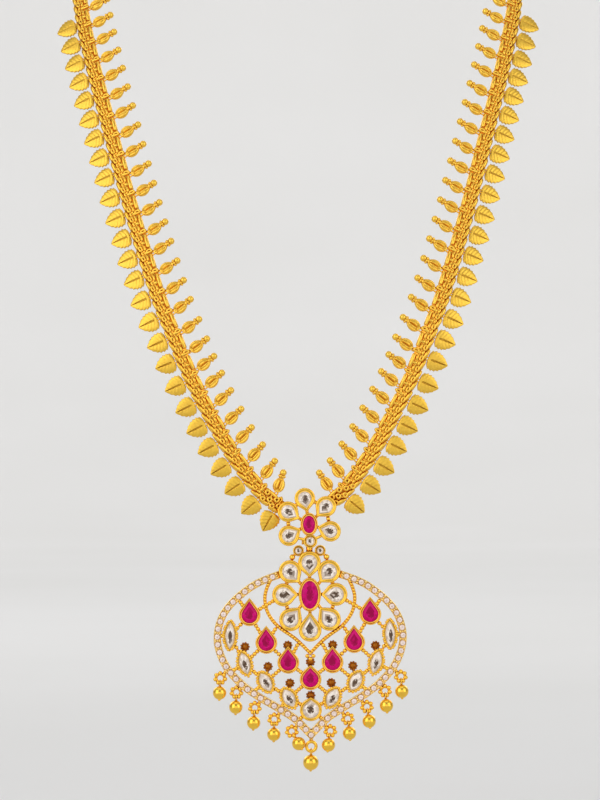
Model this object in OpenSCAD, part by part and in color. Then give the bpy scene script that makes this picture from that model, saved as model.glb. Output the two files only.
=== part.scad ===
// Long necklace in the form it has when worn: a flat woven chain fringed with leaves and pods,
// a jewelled flower that joins its two strands, and an onion-shaped pendant hinged below it.
// The origin is at the nape, on the inside of the clasp. +Z is up and the front looks along -Y.

/* [Chain] */
// Width of the flat woven chain
band_width = 4.5; // [4.2:0.1:4.6]
// Thickness of the flat woven chain
band_thick = 2; // [1.6:0.1:2.2]
// Distance from one drop to the next along the chain
drop_pitch = 6.3; // [6.2:0.05:6.4]
// Leaf drops on the left strand; the right strand has one fewer
leaf_count = 26; // [20:1:26]
// Pod drops on each strand
pod_count = 27; // [20:1:27]

/* [Leaves and pods] */
// Length of a leaf from its base to its point
leaf_length = 5.9; // [5:0.1:6]
// Width of a leaf
leaf_width = 5.7; // [4.8:0.1:5.8]
// Length of a pod with its collar and ball
pod_length = 6.6; // [6:0.1:7]
// Largest half width of a pod
pod_radius = 1.72; // [1.4:0.02:1.8]

/* [Pendant] */
// Width of the rim that carries the row of small stones
rim_width = 2.1; // [1.9:0.05:2.2]
// Wall of the small collets
collet_wall = 0.75; // [0.6:0.05:0.8]
// Wall of the collets around the petals of both flowers
petal_wall = 0.95; // [0.8:0.05:1]
// Gap between a stone and its collet
stone_gap = 0.14; // [0.1:0.01:0.16]
// Distance from one small rim stone to the next
rim_stone_pitch = 2.2; // [2.1:0.05:2.4]
// Radius of the small rim stones
rim_stone_radius = 0.72; // [0.6:0.02:0.75]

/* [Drops] */
// Radius of the gold balls along the rim
ball_radius = 1.9; // [1.6:0.05:1.95]
// Radius of the ball at the pendant's point
point_ball_radius = 2.2; // [1.9:0.05:2.3]

/* [Hinge] */
// Radius of the pin that the pendant hangs from
pin_radius = 0.45; // [0.4:0.05:0.5]
// Running clearance around the pin
pin_play = 0.05; // [0.03:0.01:0.08]

/* [Clasp] */
// Length of the clasp at the nape
clasp_length = 12; // [10:1:14]

/* [Hidden] */
GOLD = "goldenrod";
RUBY = "mediumvioletred";
WHITE = "mistyrose";

WHITE_PETALS = 5;
PENDANT_PETALS = 8;
PEAR_RUBIES = 7;
MARQUISES = 8;
BALLS = 11;

// Right-hand strand, a row for each station from the clasp to the flower:
// across, back (-Y is forward), up, and the direction that the front of the chain looks in
strand_rows = [
    [clasp_length / 2 + 0.2, 1.4, 0, 0, 1, 0],
    [30, -5, 0.5, 0.4, 0.9, 0.15],
    [52, -23, -2, 0.75, 0.5, 0.35],
    [64.5, -50, -13, 0.75, -0.1, 0.65],
    [68, -74, -37, 0.53, -0.45, 0.62],
    [67, -91, -67, 0.44, -0.68, 0.52],
    [63.6, -110, -96.9, 0.32, -0.74, 0.5],
    [59.6, -120.6, -115.7, 0.3, -0.78, 0.46],
    [53.7, -129.9, -137.9, 0.29, -0.82, 0.39],
    [47.2, -138.6, -161.5, 0.28, -0.84, 0.36],
    [40.2, -146.9, -183.9, 0.24, -0.92, 0.18],
    [35.6, -149.6, -195.7, 0.18, -0.96, 0.05],
    [30.8, -150, -207.6, 0.14, -1, 0],
    [24.9, -150, -219.3, 0.05, -1, 0],
    [18.7, -149.9, -230, 0, -1, 0],
    [11.1, -148.8, -240, 0, -1, 0],
    [4.2, -148.2, -245.4, 0, -1, 0]
];
// The flower hangs a little to the right, so the right strand stops this much sooner
right_trim = 4.2;

// Centre of the hinge that the pendant hangs from; the flower and pendant are drawn from it
// as across, up and towards the viewer
hinge_place = [1.7, -149.4, -253.8];

LEAF_GAP = 0.25;
POD_GAP = 0.45;
BAND_RINGS = 40;
SPLINE_STEPS = 10;
TORUS_FACES = 32;

function unit(v) = v / norm(v);
function point_of(row) = [row[0], row[1], row[2]];
function face_of(row) = [row[3], row[4], row[5]];
function smooth(f) = let (c = min(max(f, 0), 1)) c * c * (3 - 2 * c);

// Catmull-Rom curve through the rows of a table
function spline(rows, t) =
    let (
        i = min(floor(t), len(rows) - 2),
        f = t - i,
        a = rows[max(i - 1, 0)],
        b = rows[i],
        c = rows[i + 1],
        d = rows[min(i + 2, len(rows) - 1)]
    )
    0.5 * (2 * b + (c - a) * f + (2 * a - 5 * b + 4 * c - d) * f * f + (3 * b - a - 3 * c + d) * f * f * f);
function curve(rows, steps) = [for (k = [0:(len(rows) - 1) * steps]) spline(rows, k / steps)];
function step_to(path, k) = k < len(path) ? norm(path[k] - path[k - 1]) : 0;
function run_lengths(path) = [for (k = 0, s = 0; k < len(path); s = s + step_to(path, k + 1), k = k + 1) s];
// Pairs of length along the curve and place in the table
function run_table(path, steps) =
    let (runs = run_lengths(path)) [for (k = [0:len(path) - 1]) [runs[k], k / steps]];

strand_table = run_table([for (row = curve(strand_rows, SPLINE_STEPS)) point_of(row)], SPLINE_STEPS);
strand_length = strand_table[len(strand_table) - 1][0];
function strand_end(side) = strand_length - (side > 0 ? right_trim : 0);

// Frame on the strand at a length from the clasp: place, outward, front and along
function strand_point(s) = point_of(spline(strand_rows, lookup(s, strand_table)));
function strand_frame(s) =
    let (
        row = spline(strand_rows, lookup(s, strand_table)),
        along = unit(strand_point(s + 0.4) - strand_point(s - 0.4)),
        out = unit(cross(face_of(row), along))
    )
    [point_of(row), out, cross(along, out), along];

module in_frame(x_axis, y_axis, z_axis, place)
    multmatrix([
        [x_axis[0], y_axis[0], z_axis[0], place[0]],
        [x_axis[1], y_axis[1], z_axis[1], place[1]],
        [x_axis[2], y_axis[2], z_axis[2], place[2]],
        [0, 0, 0, 1]
    ])
    children();

// Closed solid through rings of points; each ring runs anticlockwise seen from the last one
module loft(rings) {
    n = len(rings[0]);
    last = len(rings) - 1;
    points = [for (ring = rings) each ring];
    walls = [
        for (r = [0:last - 1], k = [0:n - 1])
            let (a = r * n + k, b = r * n + (k + 1) % n)
            each [[a, a + n, b + n], [a, b + n, b]]
    ];
    polyhedron(
        points = points,
        faces = concat(walls, [[for (k = [0:n - 1]) k]], [[for (k = [n - 1:-1:0]) last * n + k]])
    );
}

module on_side(side)
    if (side < 0)
        mirror([1, 0, 0]) children();
    else
        children();

// Flat woven chain, as one band with its corners taken off
module chain_band(side) {
    bevel = 0.55;
    half_w = band_width / 2;
    half_t = band_thick / 2;
    section = [
        [-half_w + bevel, -half_t], [half_w - bevel, -half_t],
        [half_w, -half_t + bevel], [half_w, half_t - bevel],
        [half_w - bevel, half_t], [-half_w + bevel, half_t],
        [-half_w, half_t - bevel], [-half_w, -half_t + bevel]
    ];
    color(GOLD) on_side(side)
        loft([
            for (k = [0:BAND_RINGS])
                let (f = strand_frame(strand_end(side) * k / BAND_RINGS))
                [for (p = section) f[0] + f[1] * p[0] + f[2] * p[1]]
        ]);
}

// Drops hang at even stations counted back from the flower. Down the strand, where it bends,
// the leaves come to lead their stations and the pods to lag behind them.
LEAF_END = 3.8;
LEAF_STOP = 3.2;
leaf_lead_top = -1.3;
leaf_lead_end = 1.6;
lead_from = 5;
lead_over = 16;
leaf_lean_top = -8;
leaf_lean_end = 6;
last_leaf_turn = -4;
POD_END = 2.6;
pod_lead_top = 0.9;
pod_lead_end = -2.2;
lag_from = 15;
lag_over = 6;
pod_lean = 14;
last_pod_turn = 6;

function station(i) = strand_length - (leaf_count - 1 - i) * drop_pitch - LEAF_END;
function leaf_station(i) =
    let (lead = leaf_lead_top + (leaf_lead_end - leaf_lead_top) * smooth((i - lead_from) / lead_over))
    min(station(i) + lead, strand_length - LEAF_STOP);
function leaf_lean(i) =
    i == leaf_count - 1 ? last_leaf_turn : leaf_lean_top + (leaf_lean_end - leaf_lean_top) * i / leaf_count;
function pod_station(i, side) =
    let (lead = pod_lead_top + (pod_lead_end - pod_lead_top) * smooth((i - 1 - lag_from) / lag_over))
    min(station(i - 1) + lead, strand_end(side) - POD_END);

// Leaf, a row for each section: share of the length, share of the half width
leaf_rows = [[0, 0.34], [0.07, 0.82], [0.3, 1], [0.56, 0.86], [0.8, 0.5], [1, 0.06]];
LEAF_BACK = -0.35;
LEAF_EDGE = 0.15;
LEAF_CROWN = 0.45;
LEAF_GROOVE = 0.18;

module leaf()
    loft([
        for (row = leaf_rows)
            let (
                x = row[0] * leaf_length,
                half = row[1] * leaf_width / 2,
                crown = LEAF_EDGE + LEAF_CROWN * row[1],
                vein = crown - LEAF_GROOVE * row[1]
            )
            [
                [x, -half, LEAF_BACK], [x, half, LEAF_BACK], [x, half, LEAF_EDGE], [x, half / 2, crown],
                [x, 0, vein], [x, -half / 2, crown], [x, -half, LEAF_EDGE]
            ]
    ]);

module leaf_drops(side)
    color(GOLD) on_side(side)
        for (i = [0:leaf_count - (side > 0 ? 2 : 1)]) {
            f = strand_frame(leaf_station(i));
            lean = leaf_lean(i);
            tip = f[1] * cos(lean) - f[3] * sin(lean);
            in_frame(tip, cross(f[2], tip), f[2], f[0] + f[1] * (band_width / 2 + LEAF_GAP)) leaf();
        }

// Pod, a row for each section: share of the length, share of the pod's radius
pod_rows = [[0, 0.21], [0.17, 0.86], [0.42, 0.98], [0.68, 0.31], [0.87, 0.55], [1, 0.22]];
POD_SIDES = 10;
POD_FLAT = 0.6;
POD_BODY_SHARE = 0.7;

module pod()
    loft([
        for (row = pod_rows)
            let (r = row[1] * pod_radius, flat = row[0] > POD_BODY_SHARE ? 1 : POD_FLAT)
            [
                for (k = [0:POD_SIDES - 1])
                    let (a = 360 * k / POD_SIDES)
                    [row[0] * pod_length, r * cos(a), r * flat * sin(a)]
            ]
    ]);

module pod_drops(side)
    color(GOLD) on_side(side)
        for (i = [0:pod_count - 1]) {
            f = strand_frame(pod_station(i, side));
            lean = pod_lean - side * (i == pod_count - 1 ? last_pod_turn : 0);
            tip = -f[1] * cos(lean) - f[3] * sin(lean);
            in_frame(tip, cross(f[2], tip), f[2], f[0] - f[1] * (band_width / 2 + POD_GAP)) pod();
        }

// Plain box clasp with round ends, its inner side on the origin
module clasp() {
    thick = 3;
    height = 4.8;
    color(GOLD) translate([0, thick / 2, -height / 2])
        linear_extrude(height) {
            square([clasp_length - thick, thick], center = true);
            for (side = [-1, 1]) translate([side * (clasp_length - thick) / 2, 0]) circle(thick / 2, $fn = 48);
        }
}

// Outlines of the stones, as points anticlockwise; a pear has its point at the top
OVAL_POINTS = 14;
PEAR_POINTS = 13;
MARQUISE_HALF = 5;
function oval(a, b) = [for (k = [0:OVAL_POINTS - 1]) let (t = 360 * k / OVAL_POINTS) [a * cos(t), b * sin(t)]];
function pear(r, reach) =
    let (half = acos(r / reach), steps = PEAR_POINTS - 2)
    concat(
        [[0, reach]],
        [for (k = [0:steps]) let (t = 90 + half + k * (360 - 2 * half) / steps) [r * cos(t), r * sin(t)]]
    );
// Half length up and down, half width to each side
function marquise_outline(long, wide) =
    let (
        arc_r = (long * long + wide * wide) / (2 * wide),
        span = asin(long / arc_r),
        n = MARQUISE_HALF,
        turns = [for (k = [0:n - 1]) -span + 2 * span * k / n]
    )
    concat(
        [for (t = turns) [arc_r * cos(t) - arc_r + wide, arc_r * sin(t)]],
        [for (t = turns) [arc_r - wide - arc_r * cos(t), -arc_r * sin(t)]]
    );

// Cut stone: a narrower back, the girdle, crown facets and a flat table
STONE_GIRDLE = 0.55;
BACK_SHARE = 0.8;
TABLE_SHARE = 0.56;
module cut_stone(outline, high)
    loft([
        [for (p = outline) [p[0] * BACK_SHARE, p[1] * BACK_SHARE, 0]],
        [for (p = outline) [p[0], p[1], STONE_GIRDLE * high]],
        [for (p = outline) [p[0] * TABLE_SHARE, p[1] * TABLE_SHARE, high]]
    ]);

// Stand the drawing of the flower or pendant up at the hinge, facing forward
module at_hinge() translate(hinge_place) rotate([90, 0, 0]) children();
module at(place, turn = 0, level = 0) translate([place[0], place[1], level]) rotate(turn) children();

// Strip of even width along points, drawn flat
function strip_normal(path, k) =
    let (d = unit(path[min(k + 1, len(path) - 1)] - path[max(k - 1, 0)])) [-d[1], d[0]];
function strip(path, half) =
    concat(
        [for (k = [0:len(path) - 1]) path[k] - strip_normal(path, k) * half],
        [for (k = [len(path) - 1:-1:0]) path[k] + strip_normal(path, k) * half]
    );

// Square bar between two points of the drawing, its middle at the level given
module bar(from, to, half, level)
    translate([0, 0, level - half]) linear_extrude(2 * half) polygon(strip([from, to], half));

// Polar place around a centre of the drawing
function around(centre, turn, out) = centre + out * [cos(turn), sin(turn)];

// Flower between the strands: turn and distance of each white petal from the ruby
flower_centre = [0, 5];
flower_rows = [[98.7, 7.4], [148.6, 6.9], [208.5, 6.5], [-18.4, 6.3], [46.2, 6.9]];
flower_stone = [1.95, 2.9];
flower_ruby_half = [1.8, 2.6];
round_place = [0.3, 0.28];
round_stone = 1.2;
RUBY_WALL = 0.65;
FLOWER_BACK = 0.2;
FLOWER_PETAL_BACK = 0.35;
FLOWER_SPOKES = 1.2;
FLOWER_RING = 1.1;
ROUND_ARMS = 1.8;
FLOWER_FRONT = 2.4;
ROUND_BACK = 1.3;
ROUND_FRONT = 2.2;
STONE_SINK = 1.15;
STONE_HIGH = 1.25;
SMALL_HIGH = 0.8;
SMALL_SINK = 0.7;
RUBY_RISE = 0.1;
WIRE = 0.5;
THIN_WIRE = 0.4;

function flower_place(i) = around(flower_centre, flower_rows[i][0], flower_rows[i][1]);
function grown(size, by) = [size[0] + by, size[1] + by];
function pear_of(size) = pear(size[0], size[1]);
function oval_of(size) = oval(size[0], size[1]);
function marquise_of(size) = marquise_outline(size[0], size[1]);

// Solid block of a collet, and the pocket that its stone sits in
module block(outline, back, front) translate([0, 0, back]) linear_extrude(front - back) polygon(outline);
module pocket(outline, front, sink) translate([0, 0, front - sink]) linear_extrude(sink + 1) polygon(outline);
// Height of a stone's back: just clear of the floor of its pocket
function seat(front, sink) = front - sink + stone_gap;

// Two ears behind the round stone hold the pin; the pendant's knuckle turns on it between them
EAR_INSIDE = 1.5;
EAR_THICK = 0.6;
EAR_RADIUS = 0.7;
EAR_ARM = [0.05, 0.8, 0.3];
KNUCKLE_RADIUS = 0.85;
KNUCKLE_HALF = 1.3;

module hinge_ears() {
    for (side = [-1, 1])
        translate([side * (EAR_INSIDE + EAR_THICK / 2), 0, 0]) {
            rotate([0, 90, 0]) cylinder(h = EAR_THICK, r = EAR_RADIUS, center = true, $fn = 32);
            translate([-EAR_THICK / 2, EAR_ARM[0], 0]) cube([EAR_THICK, EAR_ARM[1], ROUND_BACK + EAR_ARM[2]]);
        }
    rotate([0, 90, 0]) cylinder(h = 2 * (EAR_INSIDE + EAR_THICK), r = pin_radius, center = true, $fn = 32);
}

module flower_setting()
    color(GOLD) at_hinge()
        difference() {
            union() {
                at(flower_centre)
                    block(oval_of(grown(flower_ruby_half, RUBY_WALL)), FLOWER_BACK, FLOWER_FRONT + RUBY_RISE);
                for (i = [0:WHITE_PETALS - 1]) {
                    at(flower_place(i), flower_rows[i][0] + 90)
                        block(pear_of(grown(flower_stone, petal_wall)), FLOWER_PETAL_BACK, FLOWER_FRONT);
                    bar(flower_centre, flower_place(i), WIRE, FLOWER_SPOKES);
                }
                for (i = [0:WHITE_PETALS - 2])
                    if (i != 2) bar(flower_place(i), flower_place(i + 1), WIRE, FLOWER_RING);
                bar(flower_place(4), flower_place(0), WIRE, FLOWER_RING);
                bar(flower_place(2), round_place, THIN_WIRE, ROUND_ARMS);
                bar(flower_place(3), round_place, THIN_WIRE, ROUND_ARMS);
                at(round_place, 0, ROUND_BACK)
                    cylinder(h = ROUND_FRONT - ROUND_BACK, r = round_stone + collet_wall, $fn = 40);
                hinge_ears();
            }
            at(flower_centre)
                pocket(oval_of(grown(flower_ruby_half, stone_gap)), FLOWER_FRONT + RUBY_RISE, STONE_SINK);
            for (i = [0:WHITE_PETALS - 1])
                at(flower_place(i), flower_rows[i][0] + 90)
                    pocket(pear_of(grown(flower_stone, stone_gap)), FLOWER_FRONT, STONE_SINK);
            at(round_place, 0, ROUND_FRONT - SMALL_SINK) cylinder(h = 2, r = round_stone + stone_gap, $fn = 40);
        }

module flower_ruby()
    color(RUBY) at_hinge() at(flower_centre, 0, seat(FLOWER_FRONT + RUBY_RISE, STONE_SINK))
        cut_stone(oval_of(flower_ruby_half), STONE_HIGH);
module flower_white(i)
    color(WHITE) at_hinge() at(flower_place(i), flower_rows[i][0] + 90, seat(FLOWER_FRONT, STONE_SINK))
        cut_stone(pear_of(flower_stone), STONE_HIGH);
module flower_round_white()
    color(WHITE) at_hinge() at(round_place, 0, seat(ROUND_FRONT, SMALL_SINK))
        cut_stone(oval(round_stone, round_stone), SMALL_HIGH);

// Pendant, drawn below the hinge
ruby_centre = [0, -14.7];
ruby_half = [2.5, 4.1];
// Petals around the ruby: turn, distance of the round end, reach of the point from there
petal_rows = [
    [90, 9, 3.3], [50, 8.5, 3.1], [0, 7.35, 3.2], [-52, 8.85, 3.4],
    [-90, 9.95, 4.2], [-128, 8.85, 3.4], [180, 7.35, 3.2], [130, 8.5, 3.1]
];
petal_round = 2.25;
// Swag of pear rubies, one half with its middle: across and up from the ruby, reach of the point
pear_rows = [[16.9, -5.6, 4.1], [12.3, -13.4, 4.05], [6.2, -19, 3.9], [0, -23.7, 3.3]];
pear_round = 2.3;
// Marquises, one half: across, up, outward tilt, half length, half width
marquise_rows = [
    [22.4, -11.3, -2, 3.9, 1.4], [18.4, -19.1, 16, 3.2, 1.55],
    [12.6, -24.4, 29, 2.9, 1.65], [6.1, -28.9, 30, 2.8, 1.7]
];
base_place = [0, -32.3];
base_stone = [2.35, 2.9];
link_place = [3.05, 12.3];
link_stone = 0.95;
link_granule = [4.8, 10.5];
// Middle line of the rim, one half: across, up
rim_rows = [
    [8.4, 5.7], [14.4, 3.4], [19.2, 0.2], [22.9, -3.4], [25.1, -7.2], [26, -11.6], [25.4, -15.9],
    [23.2, -20.6], [19.3, -25], [14.6, -28.5], [9.4, -31.6], [4.4, -34.9], [0, -39.3]
];
// Heart-shaped wire between the flower and the swag, one half, from the rim down to its point
heart_rows = [
    [10.7, 4.6], [12, 1.9], [12.6, -1.2], [11.7, -5.2], [8.9, -8.9], [4.2, -12.3], [0, -16.4]
];
// Studs of the back gallery, one half, each above the point of the collet that carries it
gallery_rows = [[18.3, -14.6], [11.9, -20.2], [5.8, -24.9], [6.3, -14.3], [0, -28.4], [0, -19]];
// Rings along the rim: across, up, and how their ball hangs to the side and forward
drop_rows = [
    [-25.3, -23.2, 3, 15], [-20.8, -27.2, 3, 0], [-15.7, -31.6, 5, 0], [-10.3, -34.9, 2, 0],
    [-5.4, -38.3, -30, 30], [0, -42.6, 2, 0], [5.4, -38.3, 9, 30], [10.3, -34.9, -6, 22],
    [15.7, -31.6, -8, 22], [20.8, -27.2, -5, 15], [25.3, -23.2, -3, 0]
];
POINT_DROP = 5;

// Levels along the drawing's depth, from back to front
PETAL_BACK = -1.3;
PETAL_FRONT = 1.8;
PETAL_STEP = 0.08;
SWAG_FRONT = 1.45;
MARQUISE_FRONT = 1.35;
BASE_FRONT = 1.55;
RIM_BACK = -1.9;
RIM_FRONT = 1;
LINK_BACK = -0.3;
LINK_FRONT = 1.1;
LINK_WALL = 0.6;
GRANULE_RADIUS = 0.85;
GALLERY_BACK = -1.8;
GALLERY_FRONT = -1.1;
GALLERY_STEP = 0.1;
GALLERY_ROUND = 1.35;
STRUT_LEVEL = -1.35;
STRUT_HALF = 0.45;
PETAL_SPOKES = -0.5;
PETAL_RING = -0.4;
LINK_BARS = 0.3;
SWAG_BARS = 0.5;
RIM_BARS = 0.4;
CROSS_BARS = 0.3;
RING_RADIUS = 1.35;
RING_WIRE = 0.5;
LOOP_RADIUS = 0.85;
LOOP_WIRE = 0.2;
LOOP_INTO_BALL = 0.1;
BALL_BEAD = 0.4;
CHANNEL_DEPTH = 0.55;
HEART_FRONT = 1.05;
HEART_HALF = 0.55;

function on_pendant(row) = [row[0], row[1] + ruby_centre[1]];
function mirrored(place) = [-place[0], place[1]];
function petal_place(i) = around(ruby_centre, petal_rows[i][0], petal_rows[i][1]);
function petal_size(i) = [petal_round, petal_rows[i][2]];
// The diagonal petals lie a little lower than the four upright ones
function petal_front(i) = PETAL_FRONT - PETAL_STEP * (i % 2);
// The seven pear rubies and eight marquises from left to right
function pear_row(i) = pear_rows[i < 3 ? i : 6 - i];
function pear_place(i) = i < 3 ? mirrored(on_pendant(pear_row(i))) : on_pendant(pear_row(i));
function pear_size(i) = [pear_round, pear_row(i)[2]];
function marquise_row(i) = marquise_rows[i < 4 ? i : 7 - i];
function marquise_place(i) = i < 4 ? mirrored(on_pendant(marquise_row(i))) : on_pendant(marquise_row(i));
function marquise_turn(i) = (i < 4 ? 1 : -1) * marquise_row(i)[2];
function marquise_size(i) = [marquise_row(i)[3], marquise_row(i)[4]];
function drop_place(i) = on_pendant(drop_rows[i]);

RIM_STEPS = 3;
rim_path = [for (p = curve(rim_rows, RIM_STEPS)) on_pendant(p)];
rim_table = run_table(rim_path, RIM_STEPS);
rim_run = rim_table[len(rim_table) - 1][0];
function rim_place(s) = on_pendant(spline(rim_rows, lookup(s, rim_table)));
heart_path = [for (p = curve(heart_rows, 3)) on_pendant(p)];

// One half of the rim, or of the channel in it, run past the point so that the halves meet
RIM_PAST = [-0.8, -0.8];
module rim_half(half, back, front)
    translate([0, 0, back]) linear_extrude(front - back)
        polygon(strip(concat(rim_path, [rim_place(rim_run) + RIM_PAST]), half));

module both_halves() {
    children();
    mirror([1, 0, 0]) children();
}

module collet_blocks() {
    at(ruby_centre) block(oval_of(grown(ruby_half, RUBY_WALL)), PETAL_BACK, PETAL_FRONT + RUBY_RISE);
    for (i = [0:PENDANT_PETALS - 1])
        at(petal_place(i), petal_rows[i][0] + 90)
            block(pear_of(grown(petal_size(i), petal_wall)), PETAL_BACK + 0.1, petal_front(i));
    for (i = [0:PEAR_RUBIES - 1])
        at(pear_place(i)) block(pear_of(grown(pear_size(i), collet_wall)), PETAL_BACK, SWAG_FRONT);
    for (i = [0:MARQUISES - 1])
        at(marquise_place(i), marquise_turn(i))
            block(marquise_of(grown(marquise_size(i), collet_wall)), PETAL_BACK, MARQUISE_FRONT);
    at(on_pendant(base_place)) block(pear_of(grown(base_stone, collet_wall)), PETAL_BACK, BASE_FRONT);
    for (side = [-1, 1]) {
        link = [side * link_place[0], link_place[1]];
        granule = [side * link_granule[0], link_granule[1]];
        at(on_pendant(link), 0, LINK_BACK)
            cylinder(h = LINK_FRONT - LINK_BACK, r = link_stone + LINK_WALL, $fn = 36);
        at(on_pendant(granule), 0, LINK_BARS) sphere(GRANULE_RADIUS, $fn = 32);
        bar(on_pendant(link), petal_place(0), WIRE, LINK_BARS);
        bar(on_pendant(link), on_pendant(granule), THIN_WIRE, LINK_BARS);
        bar(on_pendant(granule), petal_place(side > 0 ? 1 : 7), THIN_WIRE, LINK_BARS);
    }
}

module stone_pockets() {
    at(ruby_centre) pocket(oval_of(grown(ruby_half, stone_gap)), PETAL_FRONT + RUBY_RISE, STONE_SINK);
    for (i = [0:PENDANT_PETALS - 1])
        at(petal_place(i), petal_rows[i][0] + 90)
            pocket(pear_of(grown(petal_size(i), stone_gap)), petal_front(i), STONE_SINK);
    for (i = [0:PEAR_RUBIES - 1])
        at(pear_place(i)) pocket(pear_of(grown(pear_size(i), stone_gap)), SWAG_FRONT, STONE_SINK);
    for (i = [0:MARQUISES - 1])
        at(marquise_place(i), marquise_turn(i))
            pocket(marquise_of(grown(marquise_size(i), stone_gap)), MARQUISE_FRONT, STONE_SINK);
    at(on_pendant(base_place)) pocket(pear_of(grown(base_stone, stone_gap)), BASE_FRONT, STONE_SINK);
    for (side = [-1, 1])
        at(on_pendant([side * link_place[0], link_place[1]]), 0, LINK_FRONT - SMALL_SINK)
            cylinder(h = 2, r = link_stone + stone_gap, $fn = 36);
}

// Bars that tie the settings to each other, to the heart wire and to the rim, one half
module tie_bars() {
    for (i = [3:5]) bar(pear_place(i), pear_place(i + 1), WIRE, SWAG_BARS);
    for (i = [4:6]) bar(marquise_place(i), marquise_place(i + 1), WIRE, RIM_BARS);
    for (i = [3:6]) bar(pear_place(i), marquise_place(i + 1), WIRE, CROSS_BARS);
    bar(marquise_place(4), on_pendant(base_place), WIRE, RIM_BARS);
    bar(marquise_place(4), on_pendant([8.8, -32]), WIRE, RIM_BARS);
    bar(marquise_place(5), on_pendant([16.4, -27.3]), WIRE, RIM_BARS);
    bar(marquise_place(6), on_pendant([22.6, -21.6]), WIRE, RIM_BARS);
    bar(marquise_place(7), on_pendant([26, -11.3]), WIRE, RIM_BARS);
    bar(on_pendant(base_place), on_pendant([3.9, -35.4]), WIRE, RIM_BARS);
    bar(pear_place(6), on_pendant([20.2, -0.8]), WIRE, SWAG_BARS);
    bar(pear_place(6), petal_place(2), WIRE, SWAG_BARS);
    bar(pear_place(5), on_pendant([9.2, -8.8]), WIRE, SWAG_BARS);
    bar(pear_place(4), on_pendant([3.1, -13.2]), WIRE, SWAG_BARS);
}

module petal_bars()
    for (i = [0:PENDANT_PETALS - 1]) {
        bar(ruby_centre, petal_place(i), WIRE, PETAL_SPOKES);
        bar(petal_place(i), petal_place((i + 1) % PENDANT_PETALS), WIRE, PETAL_RING);
    }

// Studs behind the openings, each with a short strut down to its collet; the last two stand on
// the middle line
module gallery() {
    carriers = [marquise_rows[1], marquise_rows[2], marquise_rows[3], pear_rows[2], base_place, pear_rows[3]];
    for (i = [0:len(gallery_rows) - 1], side = gallery_rows[i][0] == 0 ? [1] : [-1, 1]) {
        stud = on_pendant([side * gallery_rows[i][0], gallery_rows[i][1]]);
        at(stud, 0, GALLERY_BACK)
            cylinder(h = GALLERY_FRONT - GALLERY_BACK + GALLERY_STEP * i, r = GALLERY_ROUND, $fn = 36);
        bar(stud, on_pendant([side * carriers[i][0], carriers[i][1]]), STRUT_HALF, STRUT_LEVEL);
    }
}

// Rings for the ball drops, each on a short bar that runs into the rim
RING_ARM = [0.65, 0.76];
ARM_END = 3.3;
POINT_ARM_END = 2.4;
module drop_rings()
    for (i = [0:BALLS - 1]) {
        place = drop_place(i);
        inward = i == POINT_DROP ? [0, 1] : unit([-sign(place[0]) * RING_ARM[0], RING_ARM[1]]);
        arm_end = i == POINT_DROP ? POINT_ARM_END : ARM_END;
        at(place) rotate_extrude($fn = TORUS_FACES) translate([RING_RADIUS, 0]) circle(RING_WIRE, $fn = 16);
        bar(place + inward * RING_RADIUS, place + inward * arm_end, STRUT_HALF, 0);
    }

// Knuckle on the hinge pin and the stem that carries the pendant from it
STEM_HALF = 0.9;
STEM_FROM = [-3.4, -0.7];
STEM_SIZE = [3, 0.95];
module knuckle() {
    rotate([0, 90, 0]) cylinder(h = 2 * KNUCKLE_HALF, r = KNUCKLE_RADIUS, center = true, $fn = 36);
    translate([-STEM_HALF, STEM_FROM[0], STEM_FROM[1]]) cube([2 * STEM_HALF, STEM_SIZE[0], STEM_SIZE[1]]);
}

module pendant_frame()
    color(GOLD) at_hinge()
        difference() {
            union() {
                both_halves() rim_half(rim_width / 2, RIM_BACK, RIM_FRONT);
                both_halves() linear_extrude(HEART_FRONT) polygon(strip(heart_path, HEART_HALF));
                collet_blocks();
                both_halves() tie_bars();
                petal_bars();
                gallery();
                drop_rings();
                knuckle();
            }
            both_halves() rim_half(rim_stone_radius + stone_gap, RIM_FRONT - CHANNEL_DEPTH, RIM_FRONT + 1);
            stone_pockets();
            rotate([0, 90, 0])
                cylinder(h = 4 * KNUCKLE_HALF, r = pin_radius + pin_play, center = true, $fn = 32);
        }

module pendant_ruby()
    color(RUBY) at_hinge() at(ruby_centre, 0, seat(PETAL_FRONT + RUBY_RISE, STONE_SINK))
        cut_stone(oval_of(ruby_half), STONE_HIGH);
module petal_white(i)
    color(WHITE) at_hinge() at(petal_place(i), petal_rows[i][0] + 90, seat(petal_front(i), STONE_SINK))
        cut_stone(pear_of(petal_size(i)), STONE_HIGH);
module pear_ruby(i)
    color(RUBY) at_hinge() at(pear_place(i), 0, seat(SWAG_FRONT, STONE_SINK))
        cut_stone(pear_of(pear_size(i)), STONE_HIGH);
module marquise(i)
    color(WHITE) at_hinge() at(marquise_place(i), marquise_turn(i), seat(MARQUISE_FRONT, STONE_SINK))
        cut_stone(marquise_of(marquise_size(i)), STONE_HIGH);
module base_white()
    color(WHITE) at_hinge() at(on_pendant(base_place), 0, seat(BASE_FRONT, STONE_SINK))
        cut_stone(pear_of(base_stone), STONE_HIGH);
module link_white(side)
    color(WHITE) at_hinge()
        at(on_pendant([side * link_place[0], link_place[1]]), 0, seat(LINK_FRONT, SMALL_SINK))
            cut_stone(oval(link_stone, link_stone), SMALL_HIGH);

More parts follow.
